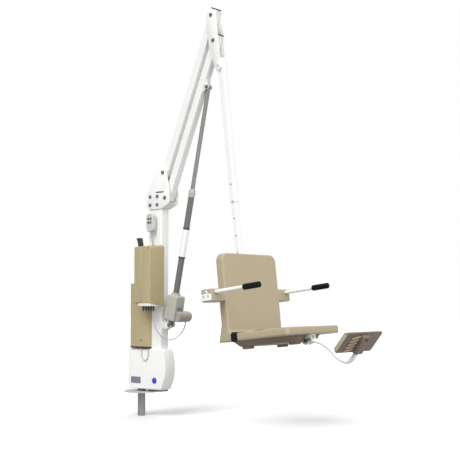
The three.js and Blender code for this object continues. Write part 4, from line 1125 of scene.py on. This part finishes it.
makeInnerKnuckle()
makeArms()
makeLugs()
makePivotPins()
print("arms, knuckle and lugs made")

# Actuator
actuator = {
    "eye": 0.014, "eyeHalf": 0.013, "eyePlay": 0.001, "eyeEase": 0.001,
    "tube": 0.019, "wall": 0.002, "tubeLow": 0.206, "tubeHigh": 0.812,
    "gland": 0.022, "glandHigh": 0.862, "low": 0.03, "high": 0.19, "neck": 0.027, "round": 0.01,
    "left": -0.042, "right": 0.049, "near": -0.042, "far": 0.048, "rod": 0.0132, "rodLow": 0.77, "taper": 0.1,
    "seamAt": 0.1144, "seam": 0.001, "seamDeep": 0.0045,
}
sleeveBand = {
    "low": 0.436, "high": 0.607, "bore": 0.0001, "thick": 0.0012, "ring": 0.012, "ringThick": 0.0022,
    "ringEase": 0.0006,
}
badge = {"x": (0.043, 0.0478), "y": (-0.018, 0.026), "z": (0.084, 0.122), "ease": 0.0006}
cableBoot = {"radius": 0.013, "long": 0.03, "x": 0.026, "y": -0.026, "bite": 0.004}


def makeActuatorHousing():
    a = actuator
    low, high, neck, eye, tubeLow = a["low"], a["high"], a["neck"], a["eye"], a["tubeLow"]
    x, y = (a["left"], a["right"]), (a["near"], a["far"])
    casing = addBlock("actuatorHousing", x, y, (low, high))
    middle = Vector((sum(x) / 2, sum(y) / 2))
    for corner in casing.data.vertices:
        if corner.co.z > high - touch:
            corner.co.xy = middle + (corner.co.xy - middle) * (1 - a["taper"])
    easeEdges(casing, a["round"], 5)
    collar = addSpun("actuatorNeck", [
        (0, high - 0.01), (neck * 1.18, high - 0.01), (neck * 1.12, high + 0.003), (neck, high + 0.006),
        (neck, tubeLow - 0.002 - gap), (neck - 0.002, tubeLow - gap), (0, tubeLow - gap),
    ], 64)
    tang = addCrossRod("actuatorTang", 0, 0, both(a["eyeHalf"]), eye, 48, a["eyeEase"])
    unitedWith(tang, addBlock("actuatorWeb", both(eye), both(a["eyeHalf"]), (0, low + 0.01)))
    unitedWith(casing, collar, tang)
    drilled(casing, 0, 0, pins["radius"] + pins["play"])
    seam, deep = a["seamAt"], a["seamDeep"]
    groove, core = [addBlock(name, grown(x, out), grown(y, out), z)
                    for name, out, z in (("seamTool", past, (seam, seam + a["seam"])),
                                         ("seamCore", -deep, both(past / 2, seam)))]
    cutWith(casing, cutWith(groove, core))
    replacing("actuator_housing", casing, onActuator)


def makeActuatorMotor():
    a, m = actuator, motorCan
    near, far, radius, dome = m["near"], m["far"], m["radius"], m["dome"]
    turns = [step * math.pi / 20 for step in range(1, 10)]
    profile = [(0, near), (radius, near), (radius, far - dome),
               *[(radius * math.cos(t), far - dome * (1 - math.sin(t))) for t in turns], (0, far)]
    can = addSpun("actuatorMotor", profile)
    for share in m["ribs"]:
        foot = near + (far - near) * share
        rib = addUpright("motorRib", foot, foot + m["ribHigh"], radius + m["ribProud"], 72, m["ribEase"])
        unitedWith(can, rib)
    settle(can, at(m["x"], 0, m["z"]) @ toFar)
    cutWith(can, addBlock("motorCut", (a["left"] - past, a["right"] + gap), (a["near"] - past, a["far"] + gap),
                          grown((a["low"], a["high"]), past)))
    replacing("actuator_motor", can, onActuator, look="motor")
    plate = addBlock("actuatorPlate", **badge)
    added(plate, onActuator, "actuator_body", "dark_steel", "plate")
    c = cableBoot
    boot = addSpun("cableBoot", glandProfile(c["radius"], c["long"], 0.45, 0.62, 0.012, 0.014), 32)
    place = onActuator @ at(c["x"], c["y"], a["low"] - c["long"] + c["bite"])
    added(boot, place, "actuator_body", "black_plastic", "darkPlug")


def makeActuatorRam():
    a, s = actuator, sleeveBand
    tube, wide, foot, top = a["tube"], a["gland"], a["tubeHigh"], a["glandHigh"]
    inner = tube - a["wall"]
    outer = addSleeve("actuatorTube", inner, tube, a["tubeLow"], foot)
    replacing("actuator_tube", outer, onActuator, look="actuatorTube")
    groove = wide - 0.002
    gland = addSpun("actuatorGland", [
        (inner, foot + gap), (wide, foot + gap), (wide, foot + 0.008), (groove, foot + 0.01),
        (groove, foot + 0.014), (wide, foot + 0.016), (wide, top - 0.012), (wide - 0.006, top), (inner, top),
    ])
    replacing("actuator_gland", gland, onActuator)
    skin = tube + s["bore"]
    band = addSleeve("actuatorSleeve", skin, tube + s["thick"], s["low"], s["high"])
    added(band, onActuator, "actuator_body", "white_plastic")
    for low in (s["low"] - s["ring"], s["high"]):
        ring = addSleeve("actuatorRing", skin, tube + s["ringThick"], low, low + s["ring"])
        easeEdges(ring, s["ringEase"], 2)
        added(ring, onActuator, "actuator_body", "dark_steel", "darkPlug")
    rod = addUpright("actuatorRod", a["rodLow"], actuatorReach, a["rod"], 64)
    half = lugs["half"] - a["eyePlay"]
    unitedWith(rod, addCrossRod("rodEye", 0, actuatorReach, both(half), a["eye"], 48, a["eyeEase"]))
    drilled(rod, 0, actuatorReach, pins["radius"] + pins["play"])
    replacing("actuator_rod", rod, onActuator, look="rod")


makeActuatorHousing()
makeActuatorMotor()
makeActuatorRam()
print("actuator made")

# Post and outer knuckle
post = {
    "sleeve": 0.04, "wall": 0.003, "round": 0.004, "low": 0.788, "high": 1.68, "core": 0.0334,
    "coreRound": 0.0013, "coreLow": -0.03, "coreHigh": 1.09, "bolt": 0.0044, "boltHead": 0.0052, "hole": 0.005,
    "holes": [0.48 + 0.104 * index for index in range(5)], "bolted": (3, 4),
}
outerPlate = {
    "x": -0.029, "low": 1.8, "high": 1.963, "half": 0.026, "thick": 0.008, "crown": 0.037, "boltX": -0.005,
    "boltZ": 1.642, "bolt": 0.006, "boltHead": 0.009, "spacerX": (-0.0197, 0.0097), "spacerZ": (1.62, 1.6797),
    "right": [(-0.0085, 1.602), (0.01, 1.6205), (0.008, 1.963)], "left": [(-0.066, 1.76), (-0.025, 1.602)],
}
seatPlate = {"x": (0.0152, 0.0217), "y": (-0.08, 0.08), "z": (0.07, 0.31), "ease": 0.001}
seatBolts = {"heights": (0.11, 0.29), "head": (0.0085, 0.0055, 0.0015)}


def makePost():
    p = post
    sleeve = addSquareTube("postSleeve", *[p["sleeve"]] * 2, p["wall"], p["round"], p["low"], p["high"])
    core = addSquareTube("postInner", *[p["core"]] * 2, p["wall"], p["coreRound"], p["coreLow"], p["coreHigh"])
    for piece in (sleeve, core):
        for height in p["holes"]:
            if piece is core or height > p["low"]:
                drilled(piece, 0, height, p["hole"], 24, 0.06)
    core = joined(core, addBlock("seatPlate", **seatPlate))
    replacing("post_sleeve", sleeve, onCarrier)
    replacing("post_inner", core, onCarrier)
    for index in p["bolted"]:
        addBolt("postBolt", 0, p["holes"][index], p["sleeve"] / 2, p["bolt"], p["boltHead"], onCarrier, "seat",
                look="bright_steel")
    b = seatBolts
    for height in b["heights"]:
        place = onCarrier @ at(-p["core"] / 2, 0, height) @ toLeft
        added(addHexEnd("seatBolt", *b["head"]), place, "seat", "dark_steel", "bright_steel")


def makeOuterKnuckle():
    o = outerPlate
    face = o["half"] + o["thick"]
    outline = [*roundedCorners(o["right"], 0.004, 2)[:-3], *arcOf((o["x"], o["high"]), o["crown"], 0, 180, 16),
               *o["left"]]
    plates = addTwins("outerPlate", outline, o["half"], face, knuckle["ease"])
    for side, plate, word in zip((-1, 1), plates, ("near", "far")):
        y = between(side * (post["sleeve"] / 2 + gap), side * (o["half"] + 0.001))
        spacer = addBlock("plateSpacer", o["spacerX"], y, o["spacerZ"], 0.0006)
        plate.name = "outerPlate" + word.title()
        replacing("outer_plate_" + word, joined(plate, spacer), onCarrier)
    addBolt("plateBolt", o["boltX"], o["boltZ"], face, o["bolt"], o["boltHead"], onCarrier, "seat",
            look="white_paint")
    addPivotPin("upperPostPin", "upper_post_pin", o["x"], o["high"], face, onCarrier)
    addPivotPin("lowerPostPin", "lower_post_pin", o["x"], o["low"], face, onCarrier)


makePost()
makeOuterKnuckle()
print("post and outer knuckle made")

# Seat
seat = {
    "half": 0.25, "rear": 0.022, "front": 0.0745, "high": 0.464, "round": 0.048, "panLow": -0.045,
    "panFront": 0.488, "panRear": -0.008, "panRound": 0.024, "ease": 0.009, "fillet": 0.03, "flareTop": 0.06,
    "flareBend": 1.15, "flareSteps": (0.06, 0.14, 0.25, 0.4, 0.6, 0.8), "postHalf": 0.023, "postTop": 0.1,
}
wing = {
    "out": 0.362, "rear": -0.01, "front": 0.072, "low": 0.185, "high": 0.257, "ease": 0.006, "root": 0.02,
    "trim": 0.0001, "trimFront": 0.026,
}
armrest = {
    "y": 0.326, "x": 0.03, "z": 0.238, "tube": 0.011, "tip": 0.358, "gripLong": 0.116, "grip": 0.017,
    "slot": 0.012, "floor": 0.014, "rise": math.radians(0.5), "hub": 0.013, "hubHalf": 0.0116, "pin": 0.005,
    "pinIn": 0.0237, "pinWay": 0.024, "boreReach": 0.03, "hubEase": 0.001, "ease": 0.007,
}
mount = {
    "low": 0.191, "high": 0.229, "left": -0.004, "right": 0.066, "face": 0.3623, "thick": 0.0077,
    "boss": 0.0095, "bossEase": 0.0015, "round": 0.006, "ease": 0.0016,
    "bolt": (0.0052, 0.0034, 0.001), "boltIn": 0.018, "boltDown": 0.013,
}
underSeat = seat["panLow"] - gap


def makeSeat():
    s, w, a = seat, wing, armrest
    r, rear, low, flareTop = s["fillet"], s["rear"], s["panLow"], s["flareTop"]
    flare = [(rear + (s["panRear"] - rear) * t ** s["flareBend"], flareTop + (low - flareTop) * t)
             for t in s["flareSteps"]]
    profile = [
        (rear, s["high"]), (rear, flareTop), *flare, (s["panRear"], low), (s["panFront"], low),
        (s["panFront"], 0), *arcOf((s["front"] + r, r), r, 270, 180, 8), (s["front"], s["high"]),
    ]
    shell = addPlate("seatShell", profile, *both(s["half"]))

    def atTop(one, other):
        return min(one.z, other.z) > s["high"] - touch and abs(one.x - other.x) > past / 2

    def atPanFront(one, other):
        upright = (one - other).xy.length < touch
        return upright and abs(one.z - other.z) > past and max(one.z, other.z) < touch

    roundEdges(shell, atTop, s["round"], 10)
    roundEdges(shell, atPanFront, s["panRound"], 6)
    easeEdges(shell, s["ease"], 4, 40)
    for side in (-1, 1):
        reach = between(side * (s["half"] - w["root"]), side * w["out"])
        bar = addBlock("seatWing", (w["rear"], w["front"]), reach, (w["low"], w["high"]), w["ease"], 4)
        inner = between(side * (s["half"] - w["root"] - past), side * (s["half"] - w["trim"]))
        cutWith(bar, addBlock("wingTrim", (w["rear"] - past, w["trimFront"]), inner, (0, s["high"])))
        unitedWith(shell, bar)
        y = side * a["y"]
        cutWith(shell, addBlock("armrestSlot", (a["x"] - a["floor"], w["front"] + past), both(a["slot"], y),
                                (a["z"] - a["floor"], w["high"] + past)),
                addCrossRod("pinWay", a["x"], a["z"], (side * (a["y"] - a["pinWay"]), side * (w["out"] + past)),
                            a["pin"] + gap, 24))
    cutWith(shell, addBlock("postWay", (s["panRear"] - past, rear - gap), both(s["postHalf"]),
                            both(s["postTop"])))
    replacing("seat_shell", shell, onCarrier, angle=28)


def makeArmrests():
    a, m = armrest, mount
    start, bore = a["tip"] - a["gripLong"], a["pin"] + gap
    for name, side in (("near", -1), ("far", 1)):
        lay = onCarrier @ leant((a["x"], side * a["y"], a["z"]), -a["rise"])
        ending = name.title()
        rail = addRod("armrestRail", (0, 0, 0), (a["tip"] - a["grip"], 0, 0), a["tube"])
        unitedWith(rail, addCrossRod("armrestHub", 0, 0, both(a["hubHalf"]), a["hub"], 48, a["hubEase"]))
        drilled(rail, 0, 0, bore, 24, a["boreReach"])
        rail.name = "armrest" + ending
        replacing("armrest_" + name, rail, lay)
        grip = addRod("armrestGrip" + ending, (start, 0, 0), (a["tip"], 0, 0), a["grip"], 56)
        easeEdges(grip, a["ease"], 5, 40)
        boreEnd = (a["tip"] - a["grip"] + gap, 0, 0)
        cutWith(grip, addRod("gripBore", (start - past, 0, 0), boreEnd, a["tube"] + gap))
        replacing("armrest_grip_" + name, grip, lay)
        inner, face, outer = [side * y for y in (a["y"] - a["pinIn"], m["face"], m["face"] + m["thick"])]
        rod = addCrossRod("armrestMount" + ending, a["x"], a["z"], (inner, outer), a["pin"], 32)
        boss = addCrossRod("mountBoss", a["x"], a["z"], (face, outer), m["boss"], 48, m["bossEase"])
        outline = roundedOutline(m["left"], m["right"], m["low"], m["high"], m["round"], 5)
        board = addPlate("mountPlate", outline, *between(face, outer), "Y", m["ease"])
        replacing("armrest_mount_" + name, joined(rod, boss, board), onCarrier)
        for x in (m["left"] + m["boltIn"], m["right"] - m["boltIn"]):
            place = onCarrier @ at(x, outer, m["high"] - m["boltDown"]) @ (toNear if side < 0 else toFar)
            added(addHexEnd("mountBolt", *m["bolt"]), place, "seat", "dark_steel", "bright_steel")


tray = {
    "rear": 0.07, "shoulder": 0.27, "front": 0.455, "half": 0.225, "nose": 0.1, "low": -0.08, "slant": 0.03,
    "foot": -0.094, "footTop": -0.068, "footRadius": 0.034, "footEase": 0.005,
    "feet": ((0.134, 0.161), (0.391, 0.066)),
    "ease": 0.012, "notchHalf": 0.034, "notchRear": 0.378,
}


def trayOutline(inset):
    t = tray
    half, rear, front = t["half"] - inset, t["rear"] + inset, t["front"] - inset
    shoulder, nose = t["shoulder"], t["nose"]
    return [(rear, -half), (shoulder, -half), (front, -nose), (front, nose), (shoulder, half), (rear, half)]


def makeTray():
    t = tray
    body = addPlate("seatTray", trayOutline(0), t["low"], underSeat, "Z")
    moves = dict(zip([(round(x, 4), round(y, 4)) for x, y in trayOutline(0)], trayOutline(t["slant"])))
    for corner in body.data.vertices:
        if corner.co.z < t["low"] + touch:
            corner.co.xy = moves[(round(corner.co.x, 4), round(corner.co.y, 4))]
    roundEdges(body, lambda one, other: min(one.z, other.z) < t["low"] + touch, t["ease"], 5)
    for x, y in t["feet"]:
        for side in (-1, 1):
            foot = addUpright("trayFoot", t["foot"], t["footTop"], t["footRadius"], x=x, y=side * y)
            roundEdges(foot, lambda centre, normal: normal.z < -0.9, t["footEase"], 4, editFaces)
            unitedWith(body, foot)
    cutWith(body, addBlock("trayNotch", (t["notchRear"], t["front"] + past), both(t["notchHalf"]),
                           (t["foot"] - past, 0)))
    # The tray wears the darkened tan, painted shade under the seat pan.
    replacing("seat_tray", body, onCarrier, look="tray")


# Footrest
footrest = {
    "x": 0.434, "z": -0.082, "half": 0.022, "thick": 0.005, "rear": 0.392, "front": 0.474, "tube": 0.0127,
    "bolt": 0.006, "boltHead": 0.0095, "lobe": 0.02, "plate": 0.006, "tongue": 0.014, "bow": 0.103,
    "lockX": 0.03, "lockZ": 0.008, "lock": 0.005, "knob": 0.009, "knobLong": 0.022, "waist": (0.004, 0.009),
    "waistShare": 0.72,
    # How far along to the panel, and how far down the tube's bow, each point of the tube lies
    "bends": [(0.2, -0.02), (0.39, 0.19), (0.54, 0.5), (0.64, 0.78), (0.745, 0.94), (0.845, 1), (0.935, 0.9)],
}
panel = {
    "half": 0.172, "long": 0.134, "thick": 0.012, "round": 0.012, "rim": 0.01, "rimHigh": 0.012,
    "rimEase": 0.0035, "block": 0.036, "deep": 0.034, "taper": 0.75, "socketTop": -0.012, "wellHalf": 0.012,
    "ribs": 5, "ribFirst": -0.0406584, "ribPitch": 0.020904, "ribHigh": 0.007, "ribHalf": 0.0062,
    "ribReach": 0.108, "ribSlant": 0.18, "ribEase": 0.003, "ease": 0.002, "bandHigh": 0.0084,
    "bandY": (-0.1732, -0.168), "bandEnd": 0.05358, "bandEase": 0.001, "blockEase": 0.006,
    "wellDeep": 0.0102, "wellZ": (0.0285, 0.04446), "wellEase": 0.003,
}


def makeFootrestBracket():
    f = footrest
    x, z, half = f["x"], f["z"], f["half"]
    outline = [(f["rear"], underSeat), (f["rear"], underSeat - f["plate"]), (x - f["lobe"], z),
               *arcOf((x, z), f["lobe"], 200, 340, 10), (f["front"], z), (f["front"], underSeat)]
    near, far = addTwins("footrestBracket", outline, half - f["thick"], half, 0.0008)
    saddle = addBlock("bracketSaddle", (f["rear"], f["front"]), both(half), (underSeat - f["thick"], underSeat),
                      0.0008)
    bracket = unitedWith(near, far, saddle)
    lockX, lockZ = x + f["lockX"], z + f["lockZ"]
    drilled(bracket, lockX, lockZ, f["lock"] + gap)
    replacing("footrest_bracket", bracket, onCarrier)
    addBolt("footrestBolt", x, z, half + gap, f["bolt"], f["boltHead"], onCarrier, node="footrest_bolt")
    face = -half - gap
    stem = addCrossRod("pullPin", 0, 0, (-f["tube"] - gap, face), f["lock"], 32)
    knob = addCrossRod("pullKnob", 0, 0, (face, face - f["knobLong"]), f["knob"], 40, 0.002)
    waist = addCrossRod("waistTool", 0, 0, [face - down for down in f["waist"]], f["knob"] * 1.5, 40)
    cutWith(waist, addCrossRod("waistCore", 0, 0, (face, face - past), f["knob"] * f["waistShare"], 40))
    cutWith(knob, waist)
    place = onCarrier @ at(lockX, 0, lockZ)
    replacing("pull_pin", joined(stem, knob), place, look="bolt")


def makeFootrestTube():
    f, p = footrest, panel
    pivot = onCarrier @ Vector((f["x"], 0, f["z"]))
    end, mouth, lead = (onPanel @ Vector((p["deep"] / 2, 0, along))
                        for along in (p["socketTop"] - 0.001, -p["long"] / 2, -p["long"] / 2 - p["rim"]))
    reach = lead.x - pivot.x
    path = [pivot + Vector((-f["bolt"], 0, f["tube"] / 4))]
    path += [Vector((pivot.x + along * reach, 0, pivot.z - drop * f["bow"])) for along, drop in f["bends"]]
    tube = tubeAlong("footrestTube", smoothRoute([*path, lead, mouth, end], 8), f["tube"], 8)
    tongue = both(f["half"] - f["thick"] - gap)
    unitedWith(tube, addCrossRod("footrestTongue", pivot.x, pivot.z, tongue, f["tongue"], 48, 0.001))
    drilled(tube, pivot.x, pivot.z, f["bolt"] + 0.0008)
    replacing("footrest_tube", tube, Matrix.Identity(4), angle=50)


def makeFootrestPanel():
    p = panel
    half, thick, rim, deep = p["half"], p["thick"], p["rim"], p["deep"]
    outline = roundedOutline(*both(half), *both(p["long"] / 2), p["round"], 6)
    board = addPlate("footrestPanel", outline, -thick, 0, "X", p["ease"], 2)
    end = p["long"] / 2 - rim
    for side in (-1, 1):
        y = between(side * (half - rim), side * half)
        unitedWith(board, addBlock("sideRim", (-thick - p["rimHigh"], -p["ease"]), y, both(end), p["rimEase"]))
    band = addBlock("rimBand", (-thick - p["bandHigh"], -touch / 2), p["bandY"], both(p["bandEnd"]),
                    p["bandEase"])
    added(band, onPanel, "footrest", "tan_plastic", "panelRib")
    block = addBlock("tubeBlock", (-thick / 2, deep), both(p["block"]), both(end))
    for corner in block.data.vertices:
        if corner.co.x > 0 and corner.co.z > 0:
            corner.co.x *= p["taper"]
    easeEdges(block, p["blockEase"], 4)
    unitedWith(board, block)
    socket = addUpright("socketTool", -p["long"], p["socketTop"], footrest["tube"] + gap, x=deep / 2)
    well = addBlock("wellTool", (p["wellDeep"], deep), both(p["wellHalf"]), p["wellZ"], p["wellEase"])
    cutWith(board, socket, well)
    # The panel wears the darkened tan, painted shade on its underside.
    replacing("footrest_panel", board, onPanel, look="panel")
    pitch = p["ribPitch"]
    for index in range(p["ribs"]):
        z = p["ribFirst"] + pitch * index
        rib = addBlock("panelRib", (-0.001, p["ribHigh"]), (-p["ribReach"], -p["block"]),
                       both(p["ribHalf"], z), p["ribEase"])
        for corner in rib.data.vertices:
            corner.co.z += (corner.co.y + p["block"]) * p["ribSlant"]
        added(rib, onPanel, "footrest", "dark_tan_plastic", "panelRib")


# Lap belt
belt = {
    "rear": 0.088, "front": 0.133, "thick": 0.002, "under": 0.024, "buckleHalf": 0.034, "buckleHigh": 0.014,
    "margin": 0.004, "lift": 0.0052, "edge": 0.005, "keyHalf": 0.012, "keyIn": 0.012, "bladeIn": 0.008,
    "buckleEase": 0.004, "keyHigh": 0.0016, "keyEase": 0.0014,
    "bladeY": (0.03, 0.046), "bladeZ": (0.005, 0.0075), "bladeEase": 0.0006,
}


def beltOutline(grow):
    # The seat pan's section across, grown by what lies on it.
    s = seat
    return roundedOutline(-s["half"] - grow, s["half"] + grow, s["panLow"] - grow, grow, s["ease"] + grow)


def makeBelt():
    b, half, low = belt, seat["half"], seat["panLow"]
    strap = addPlate("lapBelt", beltOutline(gap + b["thick"]), b["rear"], b["front"], "X")
    left, right = b["rear"] - past, b["front"] + past
    cutWith(strap, addPlate("bandTool", beltOutline(gap), left, right, "X"),
            addBlock("underTool", (left, right), both(half - b["under"]), (low - past, low + past)))
    for corner in strap.data.vertices:
        if corner.co.x < b["rear"] + touch and corner.co.z > -touch and abs(corner.co.y) < half - b["edge"]:
            corner.co.z += b["lift"]
    added(strap, onCarrier, "seat", "webbing")
    left, right, top = b["rear"] - b["margin"], b["front"] + b["margin"], b["buckleHigh"]
    shell = addBlock("beltBuckle", (left, right), both(b["buckleHalf"]), (gap + b["thick"], top),
                     b["buckleEase"], 4)
    key = addBlock("buckleKey", (left + b["keyIn"], right - b["keyIn"]), both(b["keyHalf"]),
                   (top - touch, top + b["keyHigh"]), b["keyEase"])
    blade = addBlock("buckleBlade", (left + b["bladeIn"], right - b["bladeIn"]), b["bladeY"], b["bladeZ"],
                     b["bladeEase"])
    replacing("lap_belt", joined(shell, key), onCarrier, "black_plastic")
    added(blade, onCarrier, "seat", "bright_steel")


makeSeat()
makeArmrests()
makeTray()
makeFootrestBracket()
makeFootrestTube()
makeFootrestPanel()
makeBelt()
print("seat, armrests, footrest and belt made")

# Gears and drive inside the covers, kept as they are in the frame
insideParts = {
    "turning_hub": "grey_steel", "hub_bush": "bush_plastic", "ring_gear": "dark_steel",
    "drive_pinion": "dark_steel", "motor_bracket": "grey_steel", "rotation_gearmotor": "dark_steel",
}
for name, slot in insideParts.items():
    for holder in nodes[name].material_slots:
        holder.material = finishes[slot]
print("inside parts painted:", len(insideParts))

# Lights, floor and world
studio = {
    # Each lamp's azimuth, rise, strength and width in degrees
    "lamps": {"key": (12, 46, 2.15, 35), "fill": (78, 22, 1.65, 60), "top": (200, 62, 0.6, 50)},
    "floor": 60, "floorTone": colour(246, 246, 246), "floorShade": 0.28, "soft": 0.4,
}


def addSun(name, azimuth, rise, strength, wide):
    lamp = bpy.data.objects.new(name, bpy.data.lights.new(name, "SUN"))
    bpy.context.scene.collection.objects.link(lamp)
    lamp.data.energy = strength
    lamp.data.angle = math.radians(wide)
    side, up = math.radians(azimuth), math.radians(rise)
    aim = Vector((-math.sin(side) * math.cos(up), math.cos(side) * math.cos(up), -math.sin(up)))
    lamp.rotation_euler = aim.to_track_quat("-Z", "Y").to_euler()


def addFloor():
    deselectAll()
    bpy.ops.mesh.primitive_plane_add(size=studio["floor"], location=(0, 0, -0.0005))
    floor = newest("studioFloor")
    paint = newPaint("studioFloor")
    tone = studio["floorTone"]
    tint = paint.mixed(paint.backdropRays(), shaded(tone, studio["floorShade"]), tone)
    floor.data.materials.append(paint.done(tint, 0.7))


def setWorld():
    world = bpy.data.worlds.new("studio")
    bpy.context.scene.world = world
    sky = Paint(world)
    soft, plain = (sky.node("ShaderNodeBackground", None, {"Color": (1, 1, 1, 1), "Strength": strength})
                   for strength in (studio["soft"], 1))
    mix = sky.node("ShaderNodeMixShader", None, {0: sky.backdropRays(), 1: soft, 2: plain})
    sky.node("ShaderNodeOutputWorld", None, {"Surface": mix})


for lampName, facts in studio["lamps"].items():
    addSun(lampName + "Light", *facts)
addFloor()
setWorld()
bpy.context.scene.view_settings.view_transform = "Standard"
print("lights, floor and world set")
